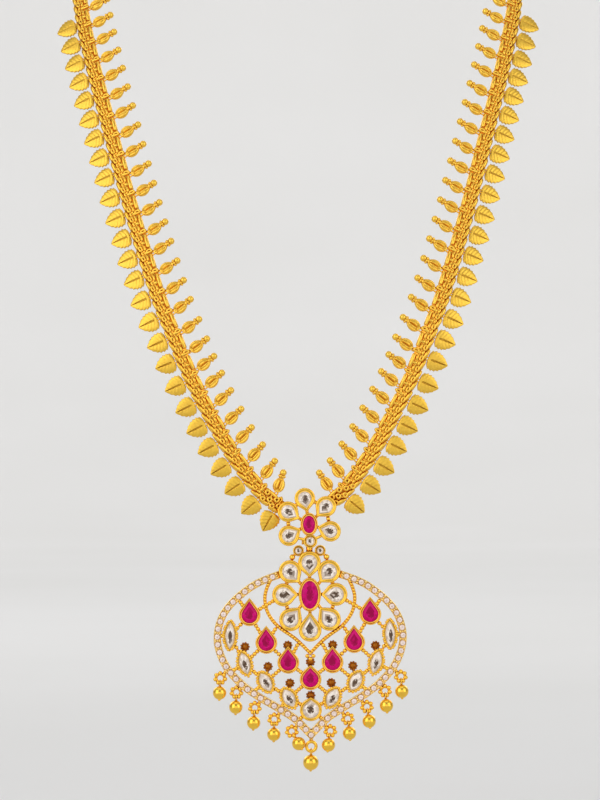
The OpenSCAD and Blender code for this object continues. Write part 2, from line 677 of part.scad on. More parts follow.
// Small stones in the rim's channel: one at the point and the rest up both halves
RIM_STONE_SIDES = 8;
RIM_STONE_TABLE = 0.62;
RIM_STONE_HIGH = 0.75;
RIM_CLEAR = 1.5;
module rim_stone()
    loft([
        for (ring = [[1, 0], [RIM_STONE_TABLE, RIM_STONE_HIGH]])
            [
                for (k = [0:RIM_STONE_SIDES - 1])
                    let (a = 360 * (k + 0.5) / RIM_STONE_SIDES, r = ring[0] * rim_stone_radius)
                    [r * cos(a), r * sin(a), ring[1]]
            ]
    ]);
module rim_stones() {
    count = floor((rim_run - RIM_CLEAR) / rim_stone_pitch);
    color(WHITE) at_hinge()
        for (k = [0:count], side = k == 0 ? [1] : [-1, 1]) {
            place = rim_place(rim_run - k * rim_stone_pitch);
            at([side * place[0], place[1]], 0, RIM_FRONT - CHANNEL_DEPTH + stone_gap) rim_stone();
        }
}

// Ball drop: its loop hangs round the bottom of a ring, and leans about it as the row says
module ball_drop(i) {
    row = drop_rows[i];
    place = drop_place(i);
    radius = i == POINT_DROP ? point_ball_radius : ball_radius;
    ball_depth = LOOP_RADIUS + LOOP_WIRE + radius - LOOP_INTO_BALL;
    color(GOLD) at_hinge() at(place, -row[2])
        translate([0, -RING_RADIUS, 0]) rotate([-row[3], 0, 0]) {
            rotate([0, 90, 0])
                rotate_extrude($fn = TORUS_FACES) translate([LOOP_RADIUS, 0]) circle(LOOP_WIRE, $fn = 16);
            translate([0, -ball_depth, 0]) sphere(radius, $fn = 48);
            translate([0, -ball_depth - radius, 0]) sphere(BALL_BEAD, $fn = 24);
        }
}

chain_band(-1);  // chain_band_left
chain_band(1);  // chain_band_right
leaf_drops(-1);  // leaf_drops_left
leaf_drops(1);  // leaf_drops_right
pod_drops(-1);  // pod_drops_left
pod_drops(1);  // pod_drops_right
clasp();
flower_setting();
flower_ruby();
flower_round_white();
for (i = [1:WHITE_PETALS])
    flower_white(i - 1);
pendant_frame();
pendant_ruby();
link_white(-1);  // link_white_left
link_white(1);  // link_white_right
for (i = [1:PENDANT_PETALS])
    petal_white(i - 1);
for (i = [1:PEAR_RUBIES])
    pear_ruby(i - 1);
for (i = [1:MARQUISES])
    marquise(i - 1);
base_white();
rim_stones();
for (i = [1:BALLS])
    ball_drop(i - 1);
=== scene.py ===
import bisect
import random
from math import acos, asin, copysign, cos, pi, radians, sin, sqrt, tau

import bmesh
import bpy
from mathutils import Matrix, Vector


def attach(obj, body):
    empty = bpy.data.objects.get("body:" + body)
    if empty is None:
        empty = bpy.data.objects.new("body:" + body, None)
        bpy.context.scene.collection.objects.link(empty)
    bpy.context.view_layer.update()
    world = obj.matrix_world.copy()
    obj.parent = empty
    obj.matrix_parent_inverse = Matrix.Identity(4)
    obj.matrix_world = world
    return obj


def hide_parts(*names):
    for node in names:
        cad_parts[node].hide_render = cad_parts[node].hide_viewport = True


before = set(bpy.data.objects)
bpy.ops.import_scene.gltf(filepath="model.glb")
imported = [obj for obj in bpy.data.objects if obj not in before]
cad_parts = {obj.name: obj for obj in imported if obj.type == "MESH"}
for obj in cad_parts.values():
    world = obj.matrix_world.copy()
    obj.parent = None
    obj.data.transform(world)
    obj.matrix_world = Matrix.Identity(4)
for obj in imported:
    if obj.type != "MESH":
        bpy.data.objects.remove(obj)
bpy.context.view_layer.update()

# The studio: a long lens looks straight at the necklace, which hangs clear of a pale floor that
# sweeps up all round it. Soft panels stand round it, and one lights the rise of the floor.
EYE_PLACE = (-0.0005, -1.05, -0.214)
EYE_ROLL = 0.56
lens = bpy.data.cameras.new("long_lens")
lens.sensor_fit = "VERTICAL"
lens.sensor_height = 36
lens.lens = 144.64
lens.clip_end = 50
eye = bpy.data.objects.new("eye", lens)
eye.location = EYE_PLACE
eye.rotation_euler = (radians(90), radians(EYE_ROLL), 0)
scene = bpy.context.scene
scene.collection.objects.link(eye)
bpy.context.scene.camera = eye
scene.view_settings.view_transform = "Standard"

FLOOR_HEIGHT = -0.36
FLAT_RADIUS, RISE_RADIUS, WALL_HEIGHT = 2.3, 1.6, 0.8
RISE_STEPS = 16
FLOOR_STEPS = 72
FULL_TURN = {"cent": (0, 0, 0), "angle": tau, "use_merge": True}
rise = [pi / 2 * k / RISE_STEPS for k in range(RISE_STEPS + 1)]
profile = [(0, 0)]
profile += [(FLAT_RADIUS + RISE_RADIUS * sin(t), RISE_RADIUS * (1 - cos(t))) for t in rise]
profile.append((FLAT_RADIUS + RISE_RADIUS, RISE_RADIUS + WALL_HEIGHT))


def face_out(bm):
    bmesh.ops.recalc_face_normals(bm, faces=bm.faces)


sweep = bmesh.new()
rail = [sweep.verts.new((r, 0, FLOOR_HEIGHT + z)) for r, z in profile]
rail_edges = [sweep.edges.new(pair) for pair in zip(rail, rail[1:])]
bmesh.ops.spin(sweep, geom=rail + rail_edges, axis=(0, 0, 1), steps=FLOOR_STEPS, **FULL_TURN)
bmesh.ops.remove_doubles(sweep, verts=sweep.verts, dist=0.0001)
face_out(sweep)
lowest = min(sweep.faces, key=lambda face: face.calc_center_median().z)
if lowest.normal.z < 0:
    bmesh.ops.reverse_faces(sweep, faces=sweep.faces)
for face in sweep.faces:
    face.smooth = True
floor_mesh = bpy.data.meshes.new("studio_floor")
sweep.to_mesh(floor_mesh)
sweep.free()
studio_floor = bpy.data.objects.new("studio_floor", floor_mesh)
scene.collection.objects.link(studio_floor)


def set_inputs(node, values):
    for name, value in values.items():
        node.inputs[name].default_value = value


def join(tree, rows):
    """Links shader nodes: each row gives a node, its output, the next node and that one's input."""
    for node, output, follower, entry in rows:
        tree.links.new(node.outputs[output], follower.inputs[entry])


paper = bpy.data.materials.new("pale_paper")
paper.use_nodes = True
tree = paper.node_tree
sheet = tree.nodes["Principled BSDF"]
set_inputs(sheet, {"Roughness": 0.8, "Specular IOR Level": 0.2})
where = tree.nodes.new("ShaderNodeTexCoord")
fibre = tree.nodes.new("ShaderNodeTexNoise")
set_inputs(fibre, {"Scale": 3})
tint = tree.nodes.new("ShaderNodeMix")
tint.data_type = "RGBA"
set_inputs(tint, {"A": (0.74, 0.73, 0.71, 1), "B": (0.8, 0.79, 0.78, 1)})
join(tree, (
    (where, "Object", fibre, "Vector"),
    (fibre, "Fac", tint, "Factor"),
    (tint, "Result", sheet, "Base Color"),
))
floor_mesh.materials.append(paper)

MIDDLE = Vector((0, -0.12, -0.2))
WALL_AIM = (0, 3.7, 0.1)


def soft_panel(name, place, width, height, glow, aim=MIDDLE):
    """A soft light of even glow that faces the aim and stays out of the picture."""
    panel = bpy.data.lights.new(name, "AREA")
    panel.shape = "RECTANGLE"
    panel.size = width
    panel.size_y = height
    panel.energy = glow * pi * width * height
    lamp = bpy.data.objects.new(name, panel)
    lamp.location = place
    lamp.rotation_euler = (Vector(aim) - Vector(place)).to_track_quat("-Z", "Y").to_euler()
    lamp.visible_camera = False
    scene.collection.objects.link(lamp)


soft_panel("panel_left", (-0.8, -0.85, 0.1), 0.9, 1.4, 1.35)
soft_panel("panel_right", (0.85, -0.8, 0), 0.8, 1.3, 1.25)
soft_panel("panel_front", (0, -1.9, -0.1), 1.6, 1.2, 0.8)
soft_panel("panel_top", (0, -0.35, 0.95), 1.0, 0.6, 0.7)
soft_panel("panel_back_left", (-0.8, 0.9, 0.4), 0.7, 0.7, 1.3)
soft_panel("panel_back_right", (0.8, 0.9, 0.4), 0.7, 0.7, 1.3)
soft_panel("panel_wall", (0, 1.6, 2.2), 3.0, 1.2, 3.7, WALL_AIM)

air = bpy.data.worlds.new("studio_air")
air.use_nodes = True
set_inputs(air.node_tree.nodes["Background"], {"Color": (0.95, 0.97, 1, 1), "Strength": 0.5})
scene.world = air

# The woven chain: a flat band of wire links from the clasp to the flower, with plump ovals on the
# leaf side, small links down the middle, smooth bars on the pod side and rings at both ends. The
# wire is satin gold, with red-brown shade painted into the gaps.
MM = 0.001
# Stations down one half, in millimetres: x, y and z, then the way that the chain's front faces
CHAIN_ROWS = [Vector(row) for row in (
    (6.2, 1.4, 0, 0, 1, 0),
    (30, -5, 0.5, 0.4, 0.9, 0.15),
    (52, -23, -2, 0.75, 0.5, 0.35),
    (64.5, -50, -13, 0.75, -0.1, 0.65),
    (68, -74, -37, 0.53, -0.45, 0.62),
    (67, -91, -67, 0.44, -0.68, 0.52),
    (63.6, -110, -96.9, 0.32, -0.74, 0.5),
    (59.6, -120.6, -115.7, 0.3, -0.78, 0.46),
    (53.7, -129.9, -137.9, 0.29, -0.82, 0.39),
    (47.2, -138.6, -161.5, 0.28, -0.84, 0.36),
    (40.2, -146.9, -183.9, 0.24, -0.92, 0.18),
    (35.6, -149.6, -195.7, 0.18, -0.96, 0.05),
    (30.8, -150, -207.6, 0.14, -1, 0),
    (24.9, -150, -219.3, 0.05, -1, 0),
    (18.7, -149.9, -230, 0, -1, 0),
    (11.1, -148.8, -240, 0, -1, 0),
    (4.2, -148.2, -245.4, 0, -1, 0),
)]
# The right half stops this much sooner at the flower, which sits a little to that side
RIGHT_TRIM = 4.2
CHAIN_HALF = 2.25
# Weave, leaves and pods repeat at one pitch, counted up from the last station over the flower
PITCH = 6.3
HALF_PITCH = PITCH / 2
LAST_STATION = 3.8
LOOK_AHEAD = 0.4


def spline(rows, t):
    """Row at place t of the smooth curve through the rows."""
    i = min(int(t), len(rows) - 2)
    f = t - i
    a, b, c, d = rows[max(i - 1, 0)], rows[i], rows[i + 1], rows[min(i + 2, len(rows) - 1)]
    slope, bend, twist = c - a, 2 * a - 5 * b + 4 * c - d, 3 * b - a - 3 * c + d
    return 0.5 * (2 * b + slope * f + bend * f**2 + twist * f**3)


def measured(rows, steps):
    """Lengths along the curve through the rows, and the place in the table of each."""
    places = [k / steps for k in range((len(rows) - 1) * steps + 1)]
    points = [Vector(spline(rows, t)[:3]) for t in places]
    runs = [0]
    for a, b in zip(points, points[1:]):
        runs.append(runs[-1] + (b - a).length)
    return runs, places


def along_curve(rows, table, s):
    """Row at length s along the curve that the table measures."""
    runs, places = table
    k = min(max(bisect.bisect_right(runs, s) - 1, 0), len(runs) - 2)
    f = min(max((s - runs[k]) / (runs[k + 1] - runs[k]), 0), 1)
    return spline(rows, places[k] + f * (places[k + 1] - places[k]))


CHAIN_TABLE = measured(CHAIN_ROWS, 10)
CHAIN_LENGTH = CHAIN_TABLE[0][-1]


def chain_frame(s):
    """Place on the strand, and its outward, front and downward directions."""
    row = along_curve(CHAIN_ROWS, CHAIN_TABLE, s)
    below = along_curve(CHAIN_ROWS, CHAIN_TABLE, s + LOOK_AHEAD)
    above = along_curve(CHAIN_ROWS, CHAIN_TABLE, s - LOOK_AHEAD)
    down = Vector((below - above)[:3]).normalized()
    out = Vector(row[3:]).cross(down).normalized()
    return Vector(row[:3]), out, down.cross(out), down


def chain_end(side):
    return CHAIN_LENGTH - (RIGHT_TRIM if side > 0 else 0)


def standing(place, x_axis, y_axis, z_axis):
    """The transform that stands a shape at a place, along three directions."""
    stance = Matrix((x_axis, y_axis, z_axis)).transposed().to_4x4()
    stance.translation = place
    return stance


def turned(axis, degrees):
    return Matrix.Rotation(radians(degrees), 4, axis)


def moved(x, y, z=0):
    return Matrix.Translation((x, y, z))


def as_pattern(bm):
    """Keeps a smooth shape as a mesh that can be stamped many times."""
    for face in bm.faces:
        face.smooth = True
    pattern = bpy.data.meshes.new("pattern")
    bm.to_mesh(pattern)
    bm.free()
    return pattern


def stamp(bm, pattern, place):
    struck = pattern.copy()
    struck.transform(place)
    bm.from_mesh(struck)
    bpy.data.meshes.remove(struck)


def draw_out(bm, stretch):
    """Moves the two ends of a shape apart along Y, and leaves what lies on its middle line."""
    for v in bm.verts:
        if abs(v.co.y) > 0.001:
            v.co.y += copysign(stretch, v.co.y)


def link_pattern(half_width, half_length, wire, sides=6, steps=12):
    """A closed wire link that lies flat, long way along Y."""
    bm = bmesh.new()
    section = moved(half_width, 0) @ turned("X", 90)
    bmesh.ops.create_circle(bm, segments=sides, radius=wire, matrix=section)
    whole = bm.verts[:] + bm.edges[:]
    bmesh.ops.spin(bm, geom=whole, axis=(0, 0, 1), steps=steps, **FULL_TURN)
    draw_out(bm, half_length - half_width)
    face_out(bm)
    return as_pattern(bm)


def oval_pattern(radius, half_length, stretch=0):
    """A plump link, long way along Y, or a bar with round ends if a ball is stretched."""
    bm = bmesh.new()
    swell = Matrix.Diagonal((1, half_length / radius, 1, 1)) @ turned("X", 90)
    bmesh.ops.create_uvsphere(bm, u_segments=12, v_segments=8, radius=radius, matrix=swell)
    draw_out(bm, stretch)
    return as_pattern(bm)


def finished(bm, name, material, body, replaced=(), side=1):
    """Turns millimetres into metres, mirrors what is on the left, and hands the piece over."""
    bmesh.ops.transform(bm, matrix=Matrix.Diagonal((MM * side, MM, MM, 1)), verts=bm.verts)
    if side < 0:
        bmesh.ops.reverse_faces(bm, faces=bm.faces)
    mesh = bpy.data.meshes.new(name)
    bm.to_mesh(mesh)
    bm.free()
    mesh.materials.append(material)
    piece = bpy.data.objects.new(name, mesh)
    scene.collection.objects.link(piece)
    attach(piece, body)
    if replaced:
        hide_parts(*replaced)


# Gold grain and painted shade: from the bright face of the metal to a red-brown shade painted into
# its recesses, where the occlusion probe finds them sheltered, over a soft mottle, with a fine grain.
# Every gold finish below places this group.
grain_and_shade_group = bpy.data.node_groups.new("gold_grain_and_painted_shade", "ShaderNodeTree")
for way, kind, names in (
    ("INPUT", "NodeSocketColor", ("Bright", "Warm", "Painted Shade")),
    ("INPUT", "NodeSocketFloat", ("Reach", "Mottle", "Grain", "Satin", "Unevenness")),
    ("OUTPUT", "NodeSocketColor", ("Colour",)),
    ("OUTPUT", "NodeSocketFloat", ("Roughness", "Height")),
):
    for name in names:
        grain_and_shade_group.interface.new_socket(name, in_out=way, socket_type=kind)
nodes = grain_and_shade_group.nodes
given = nodes.new("NodeGroupInput")
result = nodes.new("NodeGroupOutput")
where = nodes.new("ShaderNodeTexCoord")
mottle = nodes.new("ShaderNodeTexNoise")
set_inputs(mottle, {"Detail": 3})
grain = nodes.new("ShaderNodeTexNoise")
set_inputs(grain, {"Detail": 2})
# Occlusion probe: where it finds the surface sheltered, the group paints the recess colour in as shade
shade_probe = nodes.new("ShaderNodeAmbientOcclusion")
shade_probe.samples = 6
unshaded_share = nodes.new("ShaderNodeMapRange")
set_inputs(unshaded_share, {"From Min": 0.15, "From Max": 0.8})
face_tone = nodes.new("ShaderNodeMix")
face_tone.data_type = "RGBA"
# Mixes the painted shade over the metal's own colour
shaded_tone = nodes.new("ShaderNodeMix")
shaded_tone.data_type = "RGBA"
spread = nodes.new("ShaderNodeMath")
spread.operation = "MULTIPLY_ADD"
join(grain_and_shade_group, (
    (where, "Object", mottle, "Vector"),
    (where, "Object", grain, "Vector"),
    (given, "Mottle", mottle, "Scale"),
    (given, "Grain", grain, "Scale"),
    (given, "Reach", shade_probe, "Distance"),
    (shade_probe, "AO", unshaded_share, "Value"),
    (mottle, "Fac", face_tone, "Factor"),
    (given, "Warm", face_tone, "A"),
    (given, "Bright", face_tone, "B"),
    (unshaded_share, "Result", shaded_tone, "Factor"),
    (given, "Painted Shade", shaded_tone, "A"),
    (face_tone, "Result", shaded_tone, "B"),
    (mottle, "Fac", spread, 0),
    (given, "Unevenness", spread, 1),
    (given, "Satin", spread, 2),
    (shaded_tone, "Result", result, "Colour"),
    (spread, "Value", result, "Roughness"),
    (grain, "Fac", result, "Height"),
))


def gold(name, bright, warm, painted_shade, reach, satin, unevenness, relief, mottle_size=1.4, grain_size=0.25):
    """A gold finish with red-brown shade painted into its recesses; reach, relief and sizes are in
    millimetres.
    """
    material = bpy.data.materials.new(name)
    material.use_nodes = True
    nodes = material.node_tree.nodes
    metal = nodes["Principled BSDF"]
    work = nodes.new("ShaderNodeGroup")
    work.node_tree = grain_and_shade_group
    bump = nodes.new("ShaderNodeBump")
    set_inputs(metal, {"Metallic": 1})
    set_inputs(work, {
        "Bright": (*bright, 1), "Warm": (*warm, 1), "Painted Shade": (*painted_shade, 1), "Reach": reach * MM,
        "Mottle": 1 / (mottle_size * MM), "Grain": 1 / (grain_size * MM),
        "Satin": satin, "Unevenness": unevenness,
    })
    set_inputs(bump, {"Distance": relief * MM})
    join(material.node_tree, (
        (work, "Colour", metal, "Base Color"),
        (work, "Roughness", metal, "Roughness"),
        (work, "Height", bump, "Height"),
        (bump, "Normal", metal, "Normal"),
    ))
    return material


# The chain gold's third colour is the red-brown shade painted into its gaps
chain_gold = gold(
    "chain_gold", (0.95, 0.62, 0.09), (0.94, 0.51, 0.055), (0.62, 0.11, 0.006),
    reach=0.5, satin=0.16, unevenness=0.12, relief=0.01,
)

edge_link = oval_pattern(0.6, 1.62)
plump_link = link_pattern(0.4, 0.68, 0.385)
small_link = oval_pattern(0.5, 0.92)
sunk_link = link_pattern(0.24, 0.5, 0.2, sides=5, steps=10)
back_link = link_pattern(0.42, 1.36, 0.28, sides=4, steps=10)
long_bar = oval_pattern(0.56, 0.56, 1.59)
end_ring = link_pattern(0.56, 0.56, 0.37, sides=8, steps=16)
# Each link of one pitch: pattern, run down the strand, place across, place to the front, turn in
# the band's plane and lean about the band's length
UNIT = [
    (long_bar, HALF_PITCH, -1.62, 0.42, 0, 0),
    (long_bar, HALF_PITCH, -1.62, -0.4, 0, 0),
    (plump_link, 0, -1.55, 0.5, 90, 0),
    (small_link, 0, -1.75, -0.35, 90, 0),
]
for step in (0, HALF_PITCH):
    UNIT += [
        (edge_link, step + 0.1, 1.6, 0.4, 14, 0),
        (plump_link, step + 1.65, 0.66, 0.5, 6, 8),
        (small_link, step + 0.05, 0.55, 0.3, 8, 0),
        (small_link, step + 1.9, -0.55, 0.36, -10, 0),
        (small_link, step + 0.3, -0.62, 0.42, 80, 0),
        (sunk_link, step + 1, -0.2, 0.5, 0, -35),
        (back_link, step, 1.75, -0.55, 6, -20),
        (back_link, step + 1.57, 0.6, -0.55, 6, 25),
        (back_link, step, -0.6, -0.55, 6, -25),
    ]
# Lengths of the strand that stay free of the woven links at the clasp and at the flower
CLASP_CLEAR, FLOWER_CLEAR = 1, 1.2
# Round rings that gather the strand's end: distance from the end, place across
END_RINGS = [
    (1.5, -0.95), (1.4, 0.95), (3.1, 0), (4.6, -1.1), (4.7, 1.1), (6.3, 0.05), (7.9, 1.15), (8.1, -1.05),
]
END_RING_FRONT = 0.82
CLASP_RINGS = (-1, 0, 1)
# The middle layer of the weave, which only shows dark between the links: places across and front
CORE_SECTION = [(-1.85, -0.45), (1.8, -0.45), (1.8, 0.42), (-1.85, 0.42)]
CORE_START = 0.2
CORE_RINGS = 90
HALVES = ((-1, "left"), (1, "right"))


def pull(bm, rings):
    """Draws a solid out through rings of points and returns its points."""
    face = bm.faces.new([bm.verts.new(p) for p in rings[0]])
    drawn = list(face.verts)
    for k, ring in enumerate(rings[1:]):
        grown = bmesh.ops.extrude_face_region(bm, geom=[face])["geom"]
        if k:
            bm.faces.remove(face)
        face = next(g for g in grown if isinstance(g, bmesh.types.BMFace))
        for v, p in zip(face.verts, ring):
            v.co = p
        drawn += face.verts
    return drawn


for side, half in HALVES:
    weave = bmesh.new()
    end = chain_end(side)
    for k in range(int(CHAIN_LENGTH / PITCH) + 2):
        for pattern, step, across, front, spin, lean in UNIT:
            s = CHAIN_LENGTH - LAST_STATION - k * PITCH + step
            if not CLASP_CLEAR < s < end - FLOWER_CLEAR:
                continue
            place, out, face, down = chain_frame(s)
            seat = standing(place + out * across + face * front, out, down, out.cross(down))
            stamp(weave, pattern, seat @ turned("Z", spin) @ turned("Y", lean))
    for run, across in END_RINGS:
        place, out, face, down = chain_frame(end - run)
        middle = place + out * across + face * END_RING_FRONT
        stamp(weave, end_ring, standing(middle, out, down, out.cross(down)))
    place, out, face, down = chain_frame(0)
    for across in CLASP_RINGS:
        stamp(weave, end_ring, standing(place + out * across, face, down, face.cross(down)))
    core = bmesh.new()
    rings = []
    for k in range(CORE_RINGS + 1):
        place, out, face, _ = chain_frame(CORE_START + (end - FLOWER_CLEAR) * k / CORE_RINGS)
        rings.append([place + out * x + face * z for x, z in CORE_SECTION])
    pull(core, rings)
    face_out(core)
    stamp(weave, as_pattern(core), Matrix())
    band = [f"chain_band_{half}"]
    finished(weave, f"woven_chain_{half}", chain_gold, "necklace", band, side)

# The leaves: betel leaves struck from sheet gold, with a raised blade, a cut centre vein, faint
# side veins and a notched edge. Each hangs by its own small ring from the chain's outer edge.
LEAF_LENGTH = 5.9
LEAF_HALF = 2.85
LEAF_GAP = 0.25
# The lowest leaf hangs no nearer than this to the strand's end
LEAF_STOP = 3.2
# Leaves of the left half; the right half has one less
LEAVES = 26
# Share of the half width at each share of the length
LEAF_OUTLINE = [
    (0, 0.42), (0.03, 0.66), (0.09, 0.88), (0.2, 0.99), (0.36, 1),
    (0.52, 0.92), (0.68, 0.74), (0.82, 0.5), (0.92, 0.26), (1, 0.05),
]
LEAF_SIDE = [0.055, 0.1, 0.14, 0.23, 0.37, 0.51, 0.65, 0.79, 0.92, 1]
LEAF_ACROSS = [-w for w in reversed(LEAF_SIDE)] + LEAF_SIDE
LEAF_STEPS = 30
LEAF_TEETH = 6
TOOTH_RISE, TOOTH_CUT = 0.17, 0.1
BLADE_EDGE, BLADE_CROWN = 0.15, 0.34
BACK_EDGE, BACK_HOLLOW = -0.35, 0.2
VEIN_DEPTH, VEIN_HALF, VEIN_START = 0.42, 0.06, 0.14
RIB_HEIGHT, RIB_SLANT = 0.05, 1.3


def smooth(f):
    """Goes softly from 0 to 1."""
    c = min(max(f, 0), 1)
    return c * c * (3 - 2 * c)


def read_off(rows, u):
    """Value at u in a table of places and values."""
    for (a, low), (b, high) in zip(rows, rows[1:]):
        if u <= b:
            return low + (high - low) * (u - a) / (b - a)
    return rows[-1][1]


def shell(steps, across, shape):
    """A closed shell: shape gives a point from its shares along and across, at the front or back."""
    bm = bmesh.new()
    bmesh.ops.create_grid(bm, x_segments=steps, y_segments=len(across) - 1, size=1)
    grown = bmesh.ops.extrude_face_region(bm, geom=bm.faces[:])["geom"]
    fronts = {v for v in grown if isinstance(v, bmesh.types.BMVert)}
    for v in bm.verts:
        u = (v.co.x + 1) / 2
        w = across[round((v.co.y + 1) / 2 * (len(across) - 1))]
        v.co = shape(u, w, v in fronts)
    bmesh.ops.remove_doubles(bm, verts=bm.verts, dist=0.0005)
    face_out(bm)
    return bm


def leaf_shape(u, w, front):
    half = read_off(LEAF_OUTLINE, u)
    notched = abs(w) > 0.85 and 0.05 < u < 0.97
    notch = 1 + (TOOTH_RISE * ((u * LEAF_TEETH) % 1) - TOOTH_CUT) * notched
    height = BACK_EDGE + BACK_HOLLOW * half * (1 - w * w)
    if front:
        crown = BLADE_EDGE + BLADE_CROWN * half * (1 - abs(w) ** 3)
        vein = VEIN_DEPTH * smooth((u - VEIN_START) / 0.04) * (abs(w) < VEIN_HALF)
        ribbed = 0.08 < abs(w) < 0.95
        rib = RIB_HEIGHT * cos(tau * (u * LEAF_TEETH - abs(w) * RIB_SLANT)) * ribbed * half
        height = crown - vein + rib
    return Vector((u * LEAF_LENGTH, w * half * LEAF_HALF * notch, height))


# The leaf gold's third colour is the dark shade painted into the vein and other recesses
leaf_gold = gold(
    "leaf_gold", (0.93, 0.61, 0.09), (0.82, 0.47, 0.05), (0.24, 0.06, 0.004),
    reach=0.7, satin=0.26, unevenness=0.16, relief=0.05, mottle_size=0.9, grain_size=0.28,
)
leaf_pattern = as_pattern(shell(LEAF_STEPS, LEAF_ACROSS, leaf_shape))
hanging_ring = link_pattern(0.4, 0.52, 0.24)
for side, half in HALVES:
    blades, rings = bmesh.new(), bmesh.new()
    for i in range(LEAVES - (side > 0)):
        station = CHAIN_LENGTH - (LEAVES - 1 - i) * PITCH - LAST_STATION
        lead = -1.3 + 2.9 * smooth((i - 5) / 16)
        place, out, face, down = chain_frame(min(station + lead, CHAIN_LENGTH - LEAF_STOP))
        lean = radians(-4 if i == LEAVES - 1 else -8 + 14 * i / LEAVES)
        tip = out * cos(lean) - down * sin(lean)
        root = place + out * (CHAIN_HALF + LEAF_GAP)
        seat = standing(root, tip, face.cross(tip), face)
        stamp(blades, leaf_pattern, seat)
        stamp(rings, hanging_ring, seat @ moved(-0.1, 0, 0.1) @ turned("Z", 90))
    finished(blades, f"leaf_blades_{half}", leaf_gold, "necklace", [f"leaf_drops_{half}"], side)
    finished(rings, f"leaf_rings_{half}", chain_gold, "necklace", (), side)

# The pods: cast almonds with a raised rim round two split lobes, then a collar of granules and a
# bright ball. Each is held by a ring at the chain's inner edge.
POD_LENGTH = 4.6
POD_HALF = 1.68
POD_THICK = 1.02
POD_GAP = 0.45
# The lowest pod sits no nearer than this to the strand's end
POD_STOP = 2.6
PODS = 27
POD_OUTLINE = [
    (0, 0.2), (0.05, 0.48), (0.14, 0.76), (0.27, 0.95), (0.42, 1.03),
    (0.58, 0.99), (0.75, 0.78), (0.9, 0.45), (1, 0.22),
]
# Height of the pod's front by its share across: the split lobe, the groove and the rim
POD_RELIEF = [
    (0, 0.2), (0.06, 0.28), (0.15, 0.7), (0.25, 0.82), (0.34, 0.78), (0.42, 0.6), (0.49, 0.58),
    (0.57, 0.76), (0.68, 0.88), (0.82, 0.74), (0.93, 0.46), (1, 0),
]
POD_ACROSS = [-w for w, _ in reversed(POD_RELIEF[1:])] + [w for w, _ in POD_RELIEF]
POD_STEPS = 18
# Inside this share across lie the lobes, which rise over this level
LOBE_HALF, LOBE_FLOOR = 0.5, 0.26
COLLAR_RUN, COLLAR_RADIUS, COLLAR_GRANULE = 4.75, 0.68, 0.44
BALL_RUN, POD_BALL = 5.8, 1


def pod_shape(u, w, front):
    half = read_off(POD_OUTLINE, u)
    swell = POD_THICK * half * sqrt(max(1 - w * w, 0))
    if front:
        rim = smooth((u - 0.03) / 0.1) * smooth((0.97 - u) / 0.1)
        lobe = smooth((u - 0.12) / 0.14) * smooth((0.88 - u) / 0.14) if abs(w) < LOBE_HALF else 1
        carved = POD_THICK * half * (LOBE_FLOOR + (read_off(POD_RELIEF, abs(w)) - LOBE_FLOOR) * lobe)
        swell += (carved - swell) * rim
    return Vector((u * POD_LENGTH, w * half * POD_HALF, swell if front else -swell))


pod_body = shell(POD_STEPS, POD_ACROSS, pod_shape)
for angle in range(0, 360, 60):
    collar = turned("X", angle) @ moved(COLLAR_RUN, COLLAR_RADIUS)
    bmesh.ops.create_icosphere(pod_body, subdivisions=2, radius=COLLAR_GRANULE, matrix=collar)
bmesh.ops.create_uvsphere(pod_body, u_segments=18, v_segments=10, radius=POD_BALL, matrix=moved(BALL_RUN, 0))
pod_pattern = as_pattern(pod_body)
# The pod gold's third colour is the red-brown shade painted into its recesses
pod_gold = gold(
    "pod_gold", (0.96, 0.64, 0.1), (0.95, 0.54, 0.06), (0.42, 0.09, 0.005),
    reach=0.6, satin=0.2, unevenness=0.14, relief=0.03, mottle_size=0.9, grain_size=0.28,
)
for side, half in HALVES:
    bodies, rings = bmesh.new(), bmesh.new()
    for i in range(PODS):
        lead = 0.9 - 3.1 * smooth((i - 16) / 6)
        station = CHAIN_LENGTH - (LEAVES - i) * PITCH - LAST_STATION
        place, out, face, down = chain_frame(min(station + lead, chain_end(side) - POD_STOP))
        lean = radians(14 - side * (6 if i == PODS - 1 else 0))
        tip = -out * cos(lean) - down * sin(lean)
        root = place - out * (CHAIN_HALF + POD_GAP)
        seat = standing(root, tip, face.cross(tip), face)
        stamp(bodies, pod_pattern, seat)
        stamp(rings, hanging_ring, seat @ moved(-0.25, 0, 0.1) @ turned("Z", 90))
    finished(bodies, f"pod_bodies_{half}", pod_gold, "necklace", [f"pod_drops_{half}"], side)
    finished(rings, f"pod_rings_{half}", chain_gold, "necklace", (), side)

# The clasp at the nape: a plain polished box of gold, kept as it is in the solid model
# The setting gold's third colour is the red-brown shade painted into its recesses
setting_gold = gold(
    "setting_gold", (1, 0.65, 0.095), (1, 0.55, 0.055), (0.5, 0.13, 0.008),
    reach=0.55, satin=0.1, unevenness=0.1, relief=0.008,
)
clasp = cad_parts["clasp"]
clasp.data.materials.clear()
clasp.data.materials.append(setting_gold)

# The flower between the strands: six collets soldered to the ruby's collet and to each other.
# Behind its lowest stone are the two ears and the pin that the pendant hangs from.
# The drawing of flower and pendant has x to the right, y up and z to the front, in millimetres,
# and starts at the hinge
DRAWING = Matrix(((1, 0, 0, 1.7), (0, 0, -1, -149.4), (0, 1, 0, -253.8), (0, 0, 0, 1)))
FLOWER_CENTRE = Vector((0, 5))
